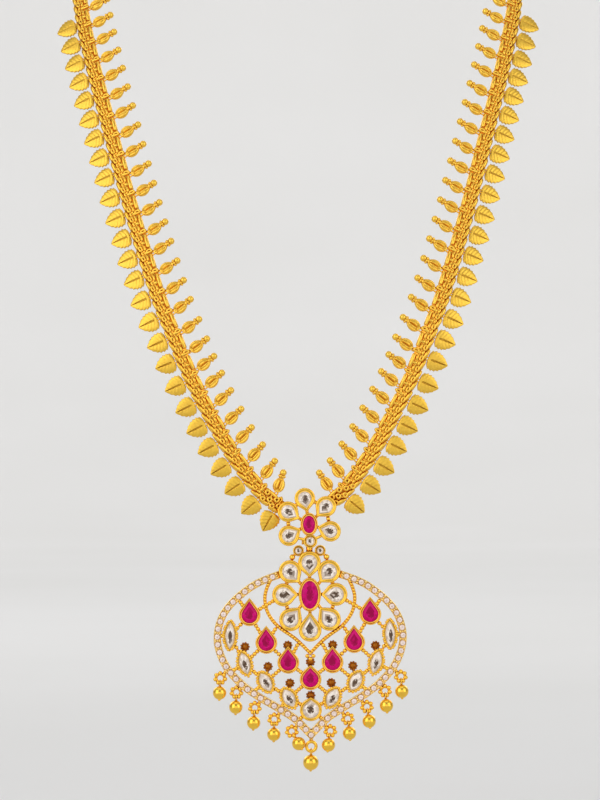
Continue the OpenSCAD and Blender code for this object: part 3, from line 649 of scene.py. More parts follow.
# Turn and distance of each stone round the ruby
FLOWER_TURNS = [(98.7, 7.4), (148.6, 6.9), (208.5, 6.5), (-18.4, 6.3), (46.2, 6.9)]
FLOWER_NEIGHBOURS = ((0, 1), (1, 2), (3, 4), (4, 0))
LOWEST_STONES = (2, 3)
FLOWER_STONE = (1.95, 2.9)
FLOWER_RUBY = (1.8, 2.6)
ROUND_STONE = (1.2, 1.2)
ROUND_PLACE = Vector((0.3, 0.28))
PETAL_WALL = 0.95
COLLET_WALL = 0.75
RUBY_WALL = 0.65
FLOWER_FRONT = 2.4
ROUND_FRONT = FLOWER_FRONT - 0.2
# A ruby's collet and a ruby stand this much over the white stones round them
COLLET_RISE, RUBY_RISE = 0.12, 0.1
# Feet of the collets of the ruby, the white stones and the round stone
RUBY_FOOT, STONE_FOOT, ROUND_FOOT = 0.2, 0.35, 1.3


def full_circle(points):
    """Angles of the points of a circle."""
    return [tau * k / points for k in range(points)]


def oval(size, by=0, points=40):
    a, b = size[0] + by, size[1] + by
    return [Vector((a * cos(t), b * sin(t), 0)) for t in full_circle(points)]


def pear(size, by=0, points=40):
    """A pear with its point at the top."""
    r, reach = size[0] + by, size[1] + by
    half = acos(min(r / reach, 0.999))
    steps = points - 2
    turns = [pi / 2 + half + k * (tau - 2 * half) / steps for k in range(steps + 1)]
    return [Vector((0, reach, 0))] + [Vector((r * cos(t), r * sin(t), 0)) for t in turns]


def marquise(size, by=0, points=40):
    """Two arcs that meet in points at the top and bottom."""
    tall, wide = size[0] + by, size[1] + by
    radius = (tall * tall + wide * wide) / (2 * wide)
    span = asin(tall / radius)
    n = points // 2
    right = [
        Vector((radius * cos(t) - radius + wide, radius * sin(t), 0))
        for t in (-span + 2 * span * k / n for k in range(n))
    ]
    return right + [-p for p in right]


# Section of a collet from its foot to the pocket's floor: share of the wall outside the stone, and
# height over the collet's front. Inside the stone's outline the shares are of INNER_WALL.
COLLET_SECTION = [
    (1, -0.55), (0.99, -0.3), (0.9, -0.1), (0.74, 0), (0.58, -0.03), (0.46, -0.12), (0.38, -0.26),
    (0.1, -0.34), (-0.18, -0.26), (-0.34, -0.3), (-0.38, -0.75),
]
INNER_WALL = 0.75
ROD_SIDES = 8


def collet(bm, outline, size, place, wall, back, front):
    heights = [(1, back)] + [(share, front + drop) for share, drop in COLLET_SECTION]
    rings = []
    for share, level in heights:
        ring = outline(size, share * (wall if share > 0 else INNER_WALL))
        rings.append([place @ (p + Vector((0, 0, level))) for p in ring])
    pull(bm, rings)


def rod(bm, start, stop, radius, level, clear=(0, 0)):
    """A round bar from one point of the drawing to another, less the clear lengths at its ends."""
    a, b = Vector((*start[:2], level)), Vector((*stop[:2], level))
    run = (b - a).normalized()
    a, b = a + run * clear[0], b - run * clear[1]
    across = run.cross(Vector((0, 0, 1)))
    turns = full_circle(ROD_SIDES)
    section = [across * radius * cos(t) + Vector((0, 0, radius * sin(t))) for t in turns]
    pull(bm, [[a + p for p in section], [b + p for p in section]])


def granule(bm, x, y, level, radius):
    bmesh.ops.create_icosphere(bm, subdivisions=2, radius=radius, matrix=moved(x, y, level))


def disc(x, radius, points=20):
    """A ring of points round the hinge line."""
    return [Vector((x, radius * cos(t), radius * sin(t))) for t in full_circle(points)]


def on_drawing(bm, rounded=True):
    """Sets a shape where the drawing stands, rounded or, for stones, with flat facets."""
    face_out(bm)
    for face in bm.faces:
        face.smooth = rounded
    bmesh.ops.transform(bm, matrix=DRAWING, verts=bm.verts)
    return bm


def around(centre, degrees, out):
    """Point of the drawing at a turn and a distance from a centre."""
    way = Vector((cos(radians(degrees)), sin(radians(degrees))))
    return Vector(centre[:2]) + out * way


STRUT_RADIUS, THIN_STRUT = 0.5, 0.42
# Heights of the struts from the ruby, between neighbours and to the round stone
RUBY_STRUT, SIDE_STRUT, ROUND_STRUT = 1.2, 1.1, 1.8
# Clear lengths of a strut at the ruby, at a white stone and at the round stone
RUBY_CLEAR, STONE_CLEAR, ROUND_CLEAR = 2, 2.3, 1.5
FLOWER_BEAD, FLOWER_BEAD_LEVEL = 0.62, 1.5
EAR_RADIUS, PIN_RADIUS = 0.7, 0.45
EAR_INNER, EAR_OUTER = 1.5, 2.1
# The block that carries an ear: reach to the front, bottom and top
EAR_FOOT, FOOT_SIDES = 1.6, (0.05, 0.85)
flower_places = [around(FLOWER_CENTRE, turn, out) for turn, out in FLOWER_TURNS]
flower_seats = [moved(*p) @ turned("Z", turn + 90) for p, (turn, _) in zip(flower_places, FLOWER_TURNS)]
flower = bmesh.new()
collet(flower, oval, FLOWER_RUBY, moved(*FLOWER_CENTRE), RUBY_WALL, RUBY_FOOT, FLOWER_FRONT + COLLET_RISE)
for place, seat in zip(flower_places, flower_seats):
    collet(flower, pear, FLOWER_STONE, seat, PETAL_WALL, STONE_FOOT, FLOWER_FRONT)
    rod(flower, FLOWER_CENTRE, place, STRUT_RADIUS, RUBY_STRUT, (RUBY_CLEAR, STONE_CLEAR))
for a, b in FLOWER_NEIGHBOURS:
    a, b = flower_places[a], flower_places[b]
    rod(flower, a, b, STRUT_RADIUS, SIDE_STRUT, (STONE_CLEAR, STONE_CLEAR))
    granule(flower, *((a + b) / 2), FLOWER_BEAD_LEVEL, FLOWER_BEAD)
for k in LOWEST_STONES:
    rod(flower, flower_places[k], ROUND_PLACE, THIN_STRUT, ROUND_STRUT, (STONE_CLEAR, ROUND_CLEAR))
collet(flower, oval, ROUND_STONE, moved(*ROUND_PLACE), COLLET_WALL, ROUND_FOOT, ROUND_FRONT)
for side in (-1, 1):
    foot = [(EAR_INNER, 0), (EAR_OUTER, 0), (EAR_OUTER, EAR_FOOT), (EAR_INNER, EAR_FOOT)]
    pull(flower, [disc(side * x, EAR_RADIUS) for x in (EAR_INNER, EAR_OUTER)])
    pull(flower, [[Vector((side * x, y, z)) for x, z in foot] for y in FOOT_SIDES])
pull(flower, [disc(x, PIN_RADIUS) for x in (-EAR_OUTER, EAR_OUTER)])
finished(on_drawing(flower), "flower_collets", setting_gold, "necklace", ["flower_setting"])

# The stones: white foil-backed stones and pink rubies, with a flat table and crown facets. Each
# facet keeps its own painted tone of glint or shade, and the middle shows a painted dark reflection.
STONE_SINK = 1.15
STONE_HIGH = 1.25
SMALL_SINK = 0.7
SMALL_HIGH = 0.8
STONE_GAP = 0.14
# Rings of a stone from its back to its table, as share of the girdle and of the height; the last
# two hold the painted dark reflection in the middle, which lies a little off centre
CUT = [(0.8, 0), (1, 0.55), (0.82, 0.84), (0.6, 1), (0.4, 0.99), (0.2, 0.98)]
# Range of painted tones in each ring of facets: 0 is a painted dark reflection, 1 a painted glint
FACET_GLINT_TONES = {0: (0.4, 0.6), 1: (0.45, 0.8), 2: (0.55, 1), 3: (0.6, 1)}
DARK_REFLECTION_RING = 4
DARK_REFLECTION_TONES = (0, 0.05, 0.15, 0.55)
DARK_REFLECTION_MIDDLE = 0.02
GLINT_STREAK_TONES = (0.1, 0.45)
PLAIN_MIDDLE = (0.25, 0.7)
dice = random.Random(11)


def cut_stone(bm, outline, size, place, back, facets=16, high=STONE_HIGH, dark_reflection=True):
    """A cut stone with its back at the given height; each facet's painted glint or shade goes in a face
    layer.
    """
    painted_facet_light = bm.faces.layers.float.get("painted_facet_light") or bm.faces.layers.float.new("painted_facet_light")
    girdle = outline(size, 0, facets)
    off = Vector((dice.uniform(-0.1, 0.1) * size[0], dice.uniform(-0.2, 0.02) * size[0], 0))
    rings = []
    for k, (share, level) in enumerate(CUT):
        rings.append([p * share + off * max(k - 3, 0) / 2 + Vector((0, 0, level * high)) for p in girdle])
    drawn = pull(bm, rings)
    ring_of = {v: k // len(girdle) for k, v in enumerate(drawn)}
    for face in dict.fromkeys(f for v in drawn for f in v.link_faces):
        k = min(ring_of[v] for v in face.verts)
        if k in FACET_GLINT_TONES:
            face[painted_facet_light] = dice.uniform(*FACET_GLINT_TONES[k])
        elif not dark_reflection:
            face[painted_facet_light] = dice.uniform(*PLAIN_MIDDLE)
        else:
            face[painted_facet_light] = dice.choice(DARK_REFLECTION_TONES) if k == DARK_REFLECTION_RING else DARK_REFLECTION_MIDDLE
    # A painted light streak, a glint, runs out from the dark middle to one side
    glint_streak = facets // 4 if outline is oval else 0
    for k in (glint_streak, glint_streak + 1) if dark_reflection else ():
        inner = drawn[DARK_REFLECTION_RING * len(girdle) + k].link_faces
        for face in drawn[(DARK_REFLECTION_RING - 1) * len(girdle) + k].link_faces:
            if face in inner:
                face[painted_facet_light] = dice.uniform(*GLINT_STREAK_TONES)
    bmesh.ops.transform(bm, matrix=place @ moved(0, 0, back), verts=drawn)


def sunk(front, depth=STONE_SINK):
    """Height of a stone's back in a pocket of this depth."""
    return front - depth + STONE_GAP


def gem(name, dark, middle, light, roughness, shine=0.5):
    """A stone whose facets go from painted dark reflection to painted glint by their painted tone."""
    material = bpy.data.materials.new(name)
    material.use_nodes = True
    nodes = material.node_tree.nodes
    stone = nodes["Principled BSDF"]
    set_inputs(stone, {"Roughness": roughness, "IOR": 1.6, "Specular IOR Level": shine})
    set_inputs(stone, {"Coat Weight": 0.3 * shine, "Coat Roughness": 0.03})
    painted_facet_light = nodes.new("ShaderNodeAttribute")
    painted_facet_light.attribute_name = "painted_facet_light"
    where = nodes.new("ShaderNodeTexCoord")
    cloud = nodes.new("ShaderNodeTexNoise")
    set_inputs(cloud, {"Scale": 900})
    shift = nodes.new("ShaderNodeMath")
    shift.operation = "MULTIPLY_ADD"
    shift.inputs[1].default_value = 0.3
    off = nodes.new("ShaderNodeMath")
    off.operation = "SUBTRACT"
    off.inputs[1].default_value = 0.15
    ramp = nodes.new("ShaderNodeValToRGB")
    low, high = ramp.color_ramp.elements
    low.color, low.position = (*dark, 1), 0.1
    high.color, high.position = (*light, 1), 0.9
    ramp.color_ramp.elements.new(0.5).color = (*middle, 1)
    join(material.node_tree, (
        (where, "Object", cloud, "Vector"),
        (cloud, "Fac", shift, 0),
        (painted_facet_light, "Fac", shift, 2),
        (shift, "Value", off, 0),
        (off, "Value", ramp, "Fac"),
        (ramp, "Color", stone, "Base Color"),
    ))
    return material


# Each stone's dark, middle and light colours are painted light: the dark reflection in the middle, grey
# facets and bright glints
ruby = gem("ruby", (0.33, 0.0, 0.06), (0.46, 0.0, 0.095), (0.64, 0.0, 0.17), 0.14, 0.1)
white_stone = gem("white_stone", (0.09, 0.045, 0.02), (0.55, 0.44, 0.35), (0.98, 0.88, 0.79), 0.08, 0.4)
stones = bmesh.new()
cut_stone(stones, oval, FLOWER_RUBY, moved(*FLOWER_CENTRE), sunk(FLOWER_FRONT) + RUBY_RISE, 18)
finished(on_drawing(stones, False), "flower_ruby_cut", ruby, "necklace", ["flower_ruby"])
stones = bmesh.new()
for seat in flower_seats:
    cut_stone(stones, pear, FLOWER_STONE, seat, sunk(FLOWER_FRONT))
cut_stone(stones, oval, ROUND_STONE, moved(*ROUND_PLACE), sunk(ROUND_FRONT, SMALL_SINK), 12, SMALL_HIGH)
whites = [f"flower_white_{k}" for k in range(1, 6)] + ["flower_round_white"]
finished(on_drawing(stones, False), "flower_white_cut", white_stone, "necklace", whites)

# The pendant's settings: eight petals round the ruby, seven pears in a swag, eight marquises in
# granulated collets, one stone over the point and two small ones under the hinge, tied by bars
# with granules. The knuckle behind the small ones turns on the flower's pin.
RUBY_CENTRE = Vector((0, -14.7))
PENDANT_RUBY = (2.5, 4.1)
# Turn, distance and reach of each petal's stone
PETALS = [
    (90, 9, 3.3), (50, 8.5, 3.1), (0, 7.35, 3.2), (-52, 8.85, 3.4),
    (-90, 9.95, 4.2), (-128, 8.85, 3.4), (180, 7.35, 3.2), (130, 8.5, 3.1),
]
PETAL_ROUND = 2.25
# Place from the ruby's centre and reach of each pear on the right, then of the middle one
PEARS = [(16.9, -5.6, 4.1), (12.3, -13.4, 4.05), (6.2, -19, 3.9), (0, -23.7, 3.3)]
PEAR_ROUND = 2.3
# Place, turn and half sizes of each marquise on the left
MARQUISES = [
    (22.4, -11.3, -2, 3.9, 1.4), (18.4, -19.1, 16, 3.2, 1.55),
    (12.6, -24.4, 29, 2.9, 1.65), (6.1, -28.9, 30, 2.8, 1.7),
]
BASE_PLACE = (0, -32.3)
BASE_STONE = (2.35, 2.9)
LINK_PLACE = (3.05, 12.3)
LINK_STONE = (0.95, 0.95)
LINK_WALL = 0.6
KNOB_PLACE = (4.8, 10.5)
PETAL_BACK, PETAL_FRONT, SWAG_FRONT = -1.3, 1.8, 1.45
# Every second petal stands this much lower
PETAL_STEP = 0.08
MARQUISE_FRONT, BASE_FRONT = SWAG_FRONT - 0.1, SWAG_FRONT + 0.1
LINK_BACK, LINK_FRONT = -0.3, 1.1
# Heights of the struts to the petals, between them and at the small stones
PETAL_STRUT, RING_STRUT, LINK_STRUT = -0.5, -0.4, 0.3
PETAL_BEAD, PETAL_BEAD_LEVEL = 0.6, 0.5
# Granules round a marquise's collet: place on the wall, distance along it, radius and height
MARQUISE_WALL, BEAD_WALL = COLLET_WALL - 0.15, COLLET_WALL - 0.22
COLLET_BEAD_RUN, COLLET_BEAD, COLLET_BEAD_LEVEL = 0.8, 0.42, SWAG_FRONT - 0.4
KNOB_RADIUS, KNOB_STRUT = 0.85, 0.4
LINK_CLEAR, TOP_PETAL_CLEAR = 1.2, 2.6
# Granulated bars: radius, then the granules' distance, radius and rise over the bar
BAR_RADIUS = 0.3
BAR_BEAD_RUN, BAR_BEAD, BAR_BEAD_RISE = 1.05, 0.625, 0.15
BAR_LEVEL = 0.5
LOW_BAR = BAR_LEVEL - 0.1
# Bars of one half: from, to, clear length at each end, height
BARS = [(a, b, 3, 3, BAR_LEVEL) for a, b in zip(PEARS, PEARS[1:])]
BARS += [(a, b, 3.1, 3.1, LOW_BAR) for a, b in zip(MARQUISES, MARQUISES[1:])]
BARS += [(a, b, 3, 2.3, BAR_LEVEL - 0.2) for a, b in zip(PEARS, MARQUISES)]
BARS += [
    (MARQUISES[3], BASE_PLACE, 2.4, 3, LOW_BAR),
    (MARQUISES[3], (8.8, -32), 2.2, 1, LOW_BAR),
    (MARQUISES[2], (16.4, -27.3), 2.2, 1, LOW_BAR),
    (MARQUISES[1], (22.6, -21.6), 2.2, 1, LOW_BAR),
    (MARQUISES[0], (26, -11.3), 1.9, 1, LOW_BAR),
    (BASE_PLACE, (3.9, -35.4), 3, 1, LOW_BAR),
    (PEARS[0], (20.2, -0.8), 3, 1, LOW_BAR),
    (PEARS[0], (7.35, 0), 3, 3, BAR_LEVEL),
    (PEARS[1], (9.2, -8.8), 3, 0.6, BAR_LEVEL),
    (PEARS[2], (3.1, -13.2), 3, 0.6, BAR_LEVEL),
]


def on_pendant(row, side=1):
    """Place on the drawing of a row that is measured from the ruby's centre, on either side."""
    return Vector((side * row[0], row[1] + RUBY_CENTRE.y))


petals = [around(RUBY_CENTRE, turn, out) for turn, out, _ in PETALS]
petal_stones = [
    (moved(*place) @ turned("Z", turn + 90), (PETAL_ROUND, reach), PETAL_FRONT - PETAL_STEP * (k % 2))
    for k, (place, (turn, _, reach)) in enumerate(zip(petals, PETALS))
]
pears = [(on_pendant(row, -1), (PEAR_ROUND, row[2])) for row in PEARS[:3]]
pears += [(on_pendant(row), (PEAR_ROUND, row[2])) for row in reversed(PEARS)]
marquises = [(moved(*on_pendant(row, -1)) @ turned("Z", row[2]), row[3:]) for row in MARQUISES]
marquises += [(moved(*on_pendant(row)) @ turned("Z", -row[2]), row[3:]) for row in reversed(MARQUISES)]
small_links = [on_pendant(LINK_PLACE, side) for side in (-1, 1)]


def tie(bm, start, stop, clear, level):
    """A bar between two settings, with granules along the part that shows."""
    rod(bm, start, stop, BAR_RADIUS, level)
    run = stop - start
    shown = run.length - clear[0] - clear[1]
    count = max(round(shown / BAR_BEAD_RUN), 1)
    for k in range(count):
        place = start + run.normalized() * (clear[0] + shown * (k + 0.5) / count)
        granule(bm, *place, level + BAR_BEAD_RISE, BAR_BEAD)


settings = bmesh.new()
collet(settings, oval, PENDANT_RUBY, moved(*RUBY_CENTRE), RUBY_WALL, PETAL_BACK, PETAL_FRONT + COLLET_RISE)
for place, following, (seat, size, front) in zip(petals, petals[1:] + petals[:1], petal_stones):
    collet(settings, pear, size, seat, PETAL_WALL, PETAL_BACK + 0.1, front)
    rod(settings, RUBY_CENTRE, place, STRUT_RADIUS, PETAL_STRUT)
    rod(settings, place, following, STRUT_RADIUS, RING_STRUT)
    granule(settings, *((place + following) / 2), PETAL_BEAD_LEVEL, PETAL_BEAD)
for place, size in pears:
    collet(settings, pear, size, moved(*place), COLLET_WALL, PETAL_BACK, SWAG_FRONT)
for seat, size in marquises:
    collet(settings, marquise, size, seat, MARQUISE_WALL, PETAL_BACK, MARQUISE_FRONT)
    edge = marquise(size, BEAD_WALL, 60)
    run = 0
    for a, b in zip(edge, edge[1:] + edge[:1]):
        run += (b - a).length
        if run > COLLET_BEAD_RUN:
            run -= COLLET_BEAD_RUN
            granule(settings, *(seat @ b)[:2], COLLET_BEAD_LEVEL, COLLET_BEAD)
collet(settings, pear, BASE_STONE, moved(*on_pendant(BASE_PLACE)), COLLET_WALL, PETAL_BACK, BASE_FRONT)
for side, link, petal in zip((-1, 1), small_links, (petals[7], petals[1])):
    collet(settings, oval, LINK_STONE, moved(*link), LINK_WALL, LINK_BACK, LINK_FRONT)
    knob = on_pendant(KNOB_PLACE, side)
    granule(settings, *knob, LINK_STRUT, KNOB_RADIUS)
    rod(settings, link, petals[0], STRUT_RADIUS, LINK_STRUT, (LINK_CLEAR, TOP_PETAL_CLEAR))
    rod(settings, link, knob, KNOB_STRUT, LINK_STRUT, (LINK_CLEAR, 0))
    rod(settings, knob, petal, KNOB_STRUT, LINK_STRUT)
    for start, stop, *clear, level in BARS:
        tie(settings, on_pendant(start, side), on_pendant(stop, side), clear, level)
# Outline and heights of the stem under the knuckle
STEM = [(-0.9, -3.4), (0.9, -3.4), (0.9, -0.5), (-0.9, -0.5)]
STEM_HEIGHTS = (-0.7, 0.25)
pull(settings, [[Vector((x, y, level)) for x, y in STEM] for level in STEM_HEIGHTS])
# The knuckle is a tube round the pin: half length, bore and outer radius
KNUCKLE_HALF, KNUCKLE_BORE, KNUCKLE_RADIUS = 1.3, 0.5, 0.85
corners = ((-1, KNUCKLE_BORE), (1, KNUCKLE_BORE), (1, KNUCKLE_RADIUS), (-1, KNUCKLE_RADIUS))
tube = bmesh.ops.create_circle(settings, segments=4, radius=1)["verts"]
for v, (way, radius) in zip(tube, corners):
    v.co = (way * KNUCKLE_HALF, radius, 0)
hoop = tube + list(dict.fromkeys(e for v in tube for e in v.link_edges))
bmesh.ops.spin(settings, geom=hoop, axis=(1, 0, 0), steps=28, **FULL_TURN)
finished(on_drawing(settings), "pendant_collets", setting_gold, "pendant", ["pendant_frame"])

stones = bmesh.new()
cut_stone(stones, oval, PENDANT_RUBY, moved(*RUBY_CENTRE), sunk(PETAL_FRONT + RUBY_RISE), 20)
for place, size in pears:
    cut_stone(stones, pear, size, moved(*place), sunk(SWAG_FRONT))
rubies = ["pendant_ruby"] + [f"pear_ruby_{k}" for k in range(1, 8)]
finished(on_drawing(stones, False), "pendant_ruby_cut", ruby, "pendant", rubies)

stones = bmesh.new()
for seat, size, front in petal_stones:
    cut_stone(stones, pear, size, seat, sunk(front))
for seat, size in marquises:
    cut_stone(stones, marquise, size, seat, sunk(MARQUISE_FRONT), 14)
cut_stone(stones, pear, BASE_STONE, moved(*on_pendant(BASE_PLACE)), sunk(BASE_FRONT))
for link in small_links:
    cut_stone(stones, oval, LINK_STONE, moved(*link), sunk(LINK_FRONT, SMALL_SINK), 12, SMALL_HIGH)
whites = [f"petal_white_{k}" for k in range(1, 9)] + [f"marquise_{k}" for k in range(1, 9)]
whites += ["base_white", "link_white_left", "link_white_right"]
finished(on_drawing(stones, False), "pendant_white_cut", white_stone, "pendant", whites)

# The rim: an onion outline, one cast channel that meets in a mitre at the point. A single row of
# small stones sits in it, and a row of three bead prongs stands between each two stones.
# Places on the right half, from the ruby's centre, down to the point
RIM_ROWS = [Vector(row) for row in (
    (8.4, 5.7), (14.4, 3.4), (19.2, 0.2), (22.9, -3.4), (25.1, -7.2), (26, -11.6), (25.4, -15.9),
    (23.2, -20.6), (19.3, -25), (14.6, -28.5), (9.4, -31.6), (4.4, -34.9), (0, -39.3),
)]
RIM_BACK, RIM_FRONT = -1.9, 1
RIM_STEPS = 5
# Places across and heights of the channel's section
RIM_SECTION = [
    (-1.05, RIM_BACK), (1.05, RIM_BACK), (1.05, 0.76), (1, 0.94), (0.93, 1), (0.86, 0.96), (0.82, 0.86),
    (-0.82, 0.86), (-0.86, 0.96), (-0.93, 1), (-1, 0.94), (-1.05, 0.76),
]
# Place across and radius of the beads between two stones
RIM_BEADS = ((-0.64, 0.36), (0, 0.32), (0.64, 0.36))
RIM_STONE = (0.8, 0.8)
RIM_SINK, RIM_HIGH = 0.55, 0.75
RIM_PITCH = 2.2
RIM_CLEAR = 1.5
RIM_BEAD_LEVEL = RIM_FRONT - 0.08
RIM_AHEAD = 0.3


def swept(bm, path, section):
    """Draws a section (across, height) along a path of the drawing, mitred at its corners."""
    rings = []
    for k, p in enumerate(path):
        before = (p - path[k - 1]).normalized() if k else None
        after = (path[k + 1] - p).normalized() if k + 1 < len(path) else before
        before = before or after
        run = (before + after).normalized()
        across = Vector((-run.y, run.x)) / max(run.dot(after), 0.3)
        rings.append([Vector((*(p + across * x), z)) for x, z in section])
    pull(bm, rings)


def whole_path(rows, steps):
    """The curve through the rows of the right half, and back up the left half."""
    right = [on_pendant(spline(rows, k / steps)) for k in range((len(rows) - 1) * steps + 1)]
    return right + [Vector((-p.x, p.y)) for p in reversed(right[:-1])]


rim_table = measured(RIM_ROWS, 3)
rim_run = rim_table[0][-1]
rim_places = range(int((rim_run - RIM_CLEAR) / RIM_PITCH) + 1)
rim = bmesh.new()
swept(rim, whole_path(RIM_ROWS, RIM_STEPS), RIM_SECTION)
for k in rim_places:
    s = rim_run - (k + 0.5) * RIM_PITCH
    middle, ahead = (along_curve(RIM_ROWS, rim_table, run) for run in (s, s + RIM_AHEAD))
    across = Vector((middle.y - ahead.y, ahead.x - middle.x)).normalized()
    for side in (-1, 1):
        for edge, size in RIM_BEADS:
            bead = on_pendant(middle + across * edge)
            granule(rim, side * bead.x, bead.y, RIM_BEAD_LEVEL, size)
# A paler copy of the gold: a painted highlight over the whole rim, with only light shade painted into its
# recesses
rim_highlight_gold = gold(
    "rim_highlight_gold", (1, 0.76, 0.3), (1, 0.68, 0.2), (0.7, 0.34, 0.06),
    reach=0.35, satin=0.12, unevenness=0.1, relief=0.008,
)
finished(on_drawing(rim), "pendant_rim", rim_highlight_gold, "pendant")

stones = bmesh.new()
for k in rim_places:
    place = on_pendant(along_curve(RIM_ROWS, rim_table, rim_run - k * RIM_PITCH))
    for side in (-1, 1) if k else (1,):
        seat = moved(side * place.x, place.y) @ turned("Z", dice.uniform(0, 30))
        cut_stone(stones, oval, RIM_STONE, seat, sunk(RIM_FRONT, RIM_SINK), 8, RIM_HIGH, False)
# The rim stones' facets carry painted glints and grey facets, with no painted dark middle
rim_stone = gem("rim_stone", (0.4, 0.28, 0.22), (0.75, 0.6, 0.55), (0.98, 0.84, 0.78), 0.1)
finished(on_drawing(stones, False), "rim_brilliants", rim_stone, "pendant", ["rim_stones"])

# The heart wire: a granulated gold wire between the petals and the swag, soldered to the bars and
# ending in a trefoil of granules.
HEART_ROWS = [Vector(row) for row in (
    (10.7, 4.6), (12, 1.9), (12.6, -1.2), (11.7, -5.2), (8.9, -8.9), (4.2, -12.3), (0, -16.4),
)]
HEART_STEPS = 4
HEART_SECTION = [(-0.5, 0), (0.5, 0), (0.5, 0.4), (0.3, 0.62), (-0.3, 0.62), (-0.5, 0.4)]
HEART_BEAD_RUN, HEART_BEAD, HEART_BEAD_LEVEL = 0.85, 0.5, 0.6
TREFOIL = ((-0.85, -17.2), (0.85, -17.2), (0, -18))
LOBE_RADIUS, LOBE_LEVEL = 0.62, 0.5
heart_table = measured(HEART_ROWS, HEART_STEPS)
heart_run = heart_table[0][-1]
heart = bmesh.new()
swept(heart, whole_path(HEART_ROWS, HEART_STEPS), HEART_SECTION)
for k in range(int(heart_run / HEART_BEAD_RUN) + 1):
    bead = on_pendant(along_curve(HEART_ROWS, heart_table, heart_run - k * HEART_BEAD_RUN))
    for side in (-1, 1) if k else (1,):
        granule(heart, side * bead.x, bead.y, HEART_BEAD_LEVEL, HEART_BEAD)
for lobe in TREFOIL:
    granule(heart, *on_pendant(lobe), LOBE_LEVEL, LOBE_RADIUS)
finished(on_drawing(heart), "heart_wire", setting_gold, "pendant")

# The back gallery: round studs with a ring of granules, seen through the openings. Their gold is
# a dark brown copy, with painted shade for the parts that lie behind.
# Place of each stud on the right half, and the setting that its strut comes from
GALLERY = [
    ((18.3, -14.6), MARQUISES[1]), ((11.9, -20.2), MARQUISES[2]), ((5.8, -24.9), MARQUISES[3]),
    ((6.3, -14.3), PEARS[2]), ((0, -28.4), BASE_PLACE), ((0, -19), PEARS[3]),
]
# Radius and height of a stud's rings, from its back to its dome
STUD = [(0.95, -1.8), (0.95, -1.3), (0.8, -1.08), (0.5, -0.92), (0.2, -0.86)]
# Granules round a stud: number, radius and distance from its middle
STUD_BEADS, STUD_BEAD, STUD_BEAD_OUT = 9, 0.36, 1.02
STUD_STRUT = 0.45
STUD_LEVEL = -1.35
# Each stud of the table stands this much over the one before
STUD_STEP = 0.05
gallery = bmesh.new()
for k, (row, carrier) in enumerate(GALLERY):
    for side in (-1, 1) if row[0] else (1,):
        stud = on_pendant(row, side)
        rod(gallery, stud, on_pendant(carrier, side), STUD_STRUT, STUD_LEVEL)
        pull(gallery, [
            [moved(*stud, level + STUD_STEP * k) @ p for p in oval((radius, radius), 0, 20)]
            for radius, level in STUD
        ])
        for bead in range(STUD_BEADS):
            place = around(stud, 360 * bead / STUD_BEADS, STUD_BEAD_OUT)
            granule(gallery, *place, STUD_LEVEL + STUD_STEP * k, STUD_BEAD)
# A dark brown copy of the gold: the shade behind the front settings is painted into its colour
back_shade_gold = gold(
    "back_shade_gold", (0.46, 0.17, 0.02), (0.34, 0.1, 0.01), (0.1, 0.02, 0.002),
    reach=0.6, satin=0.34, unevenness=0.1, relief=0.03,
)
finished(on_drawing(gallery), "back_gallery", back_shade_gold, "pendant")

# The drops: eleven rings of granules under the rim, plain at the point, and in each a loop with a
# hollow ball of polished gold and a small bead below it.
# Place of each ring, sideways lean and forward lean of its ball
DROPS = [
    (-25.3, -23.2, 3, 15), (-20.8, -27.2, 3, 0), (-15.7, -31.6, 5, 0), (-10.3, -34.9, 2, 0),
    (-5.4, -38.3, -30, 30), (0, -42.6, 2, 0), (5.4, -38.3, 9, 30), (10.3, -34.9, -6, 22),
    (15.7, -31.6, -8, 22), (20.8, -27.2, -5, 15), (25.3, -23.2, -3, 0),
]
RING_RADIUS = 1.35
# Granules round a ring: number, radius, height and distance from its middle
RING_BEADS, RING_BEAD, RING_BEAD_LEVEL, RING_BEAD_OUT = 7, 0.64, 0.15, 1.38
# Bar from a ring to the rim: radius, reach at the point and elsewhere, and the bead on it
NECK_RADIUS, POINT_REACH, NECK_REACH = 0.45, 2.4, 3.3
NECK_BEAD, NECK_BEAD_LEVEL, NECK_BEAD_OUT = 0.55, 0.1, 2.1
LOOP_RADIUS, LOOP_WIRE, LOOP_SINK = 0.85, 0.2, 0.1
BALL_RADIUS, POINT_BALL = 1.9, 2.2
CAP_BEAD, TIP_BEAD = 0.42, 0.4
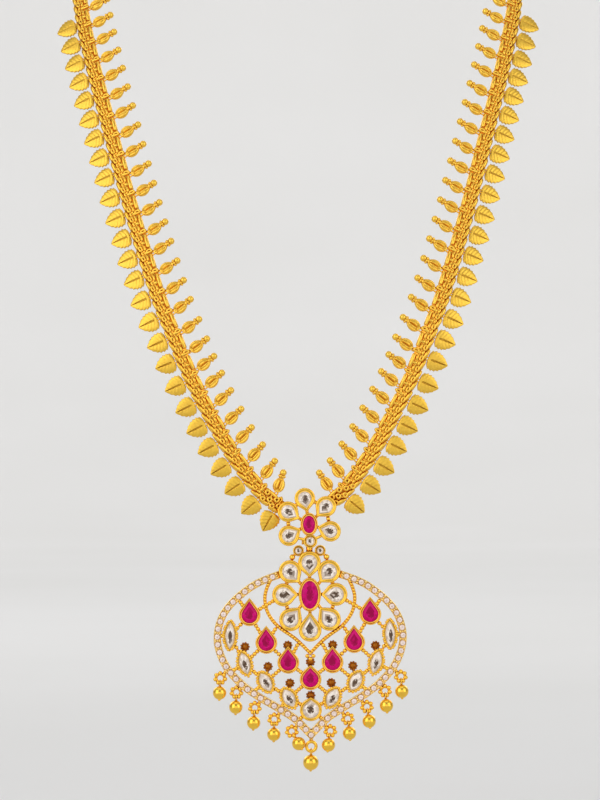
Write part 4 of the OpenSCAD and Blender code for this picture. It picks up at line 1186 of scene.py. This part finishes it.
# The ball gold's third colour is the red-brown shade painted into its recesses
ball_gold = gold(
    "ball_gold", (0.97, 0.64, 0.085), (0.97, 0.56, 0.06), (0.4, 0.1, 0.005),
    reach=0.6, satin=0.16, unevenness=0.06, relief=0.004, mottle_size=2, grain_size=0.5,
)
plain_ring = link_pattern(RING_RADIUS, RING_RADIUS, 0.48, sides=10, steps=28)
thin_ring = link_pattern(1.15, 1.15, 0.42, sides=8, steps=24)
loop_ring = link_pattern(LOOP_RADIUS, LOOP_RADIUS, LOOP_WIRE, sides=8, steps=20)
rings, balls = bmesh.new(), bmesh.new()
for x, y, lean, forward in DROPS:
    place = on_pendant((x, y))
    ring, inward, reach, beads, radius = plain_ring, Vector((0, 1)), POINT_REACH, 0, POINT_BALL
    if x:
        ring, reach, beads, radius = thin_ring, NECK_REACH, RING_BEADS, BALL_RADIUS
        inward = Vector((-copysign(0.65, x), 0.76)).normalized()
    stamp(rings, ring, moved(*place))
    rod(rings, place + inward * RING_RADIUS, place + inward * reach, NECK_RADIUS, 0)
    granule(rings, *(place + inward * NECK_BEAD_OUT), NECK_BEAD_LEVEL, NECK_BEAD)
    for k in range(beads):
        bead = around(place, 270 + 360 * (k + 0.5) / beads, RING_BEAD_OUT)
        granule(rings, *bead, RING_BEAD_LEVEL, RING_BEAD)
    depth = LOOP_RADIUS + LOOP_WIRE + radius - LOOP_SINK
    hang = moved(*place) @ turned("Z", -lean) @ moved(0, -RING_RADIUS) @ turned("X", -forward)
    stamp(balls, loop_ring, hang @ turned("Y", 90))
    middle = hang @ moved(0, -depth)
    bmesh.ops.create_uvsphere(balls, u_segments=36, v_segments=22, radius=radius, matrix=middle)
    granule(balls, *(hang @ Vector((0, -depth + radius + LOOP_SINK, 0))), CAP_BEAD)
    granule(balls, *(hang @ Vector((0, -depth - radius, 0))), TIP_BEAD)
finished(on_drawing(rings), "granulated_rings", setting_gold, "pendant")
loops = [f"ball_drop_{k}" for k in range(1, 12)]
finished(on_drawing(balls), "gold_balls", ball_gold, "pendant", loops)
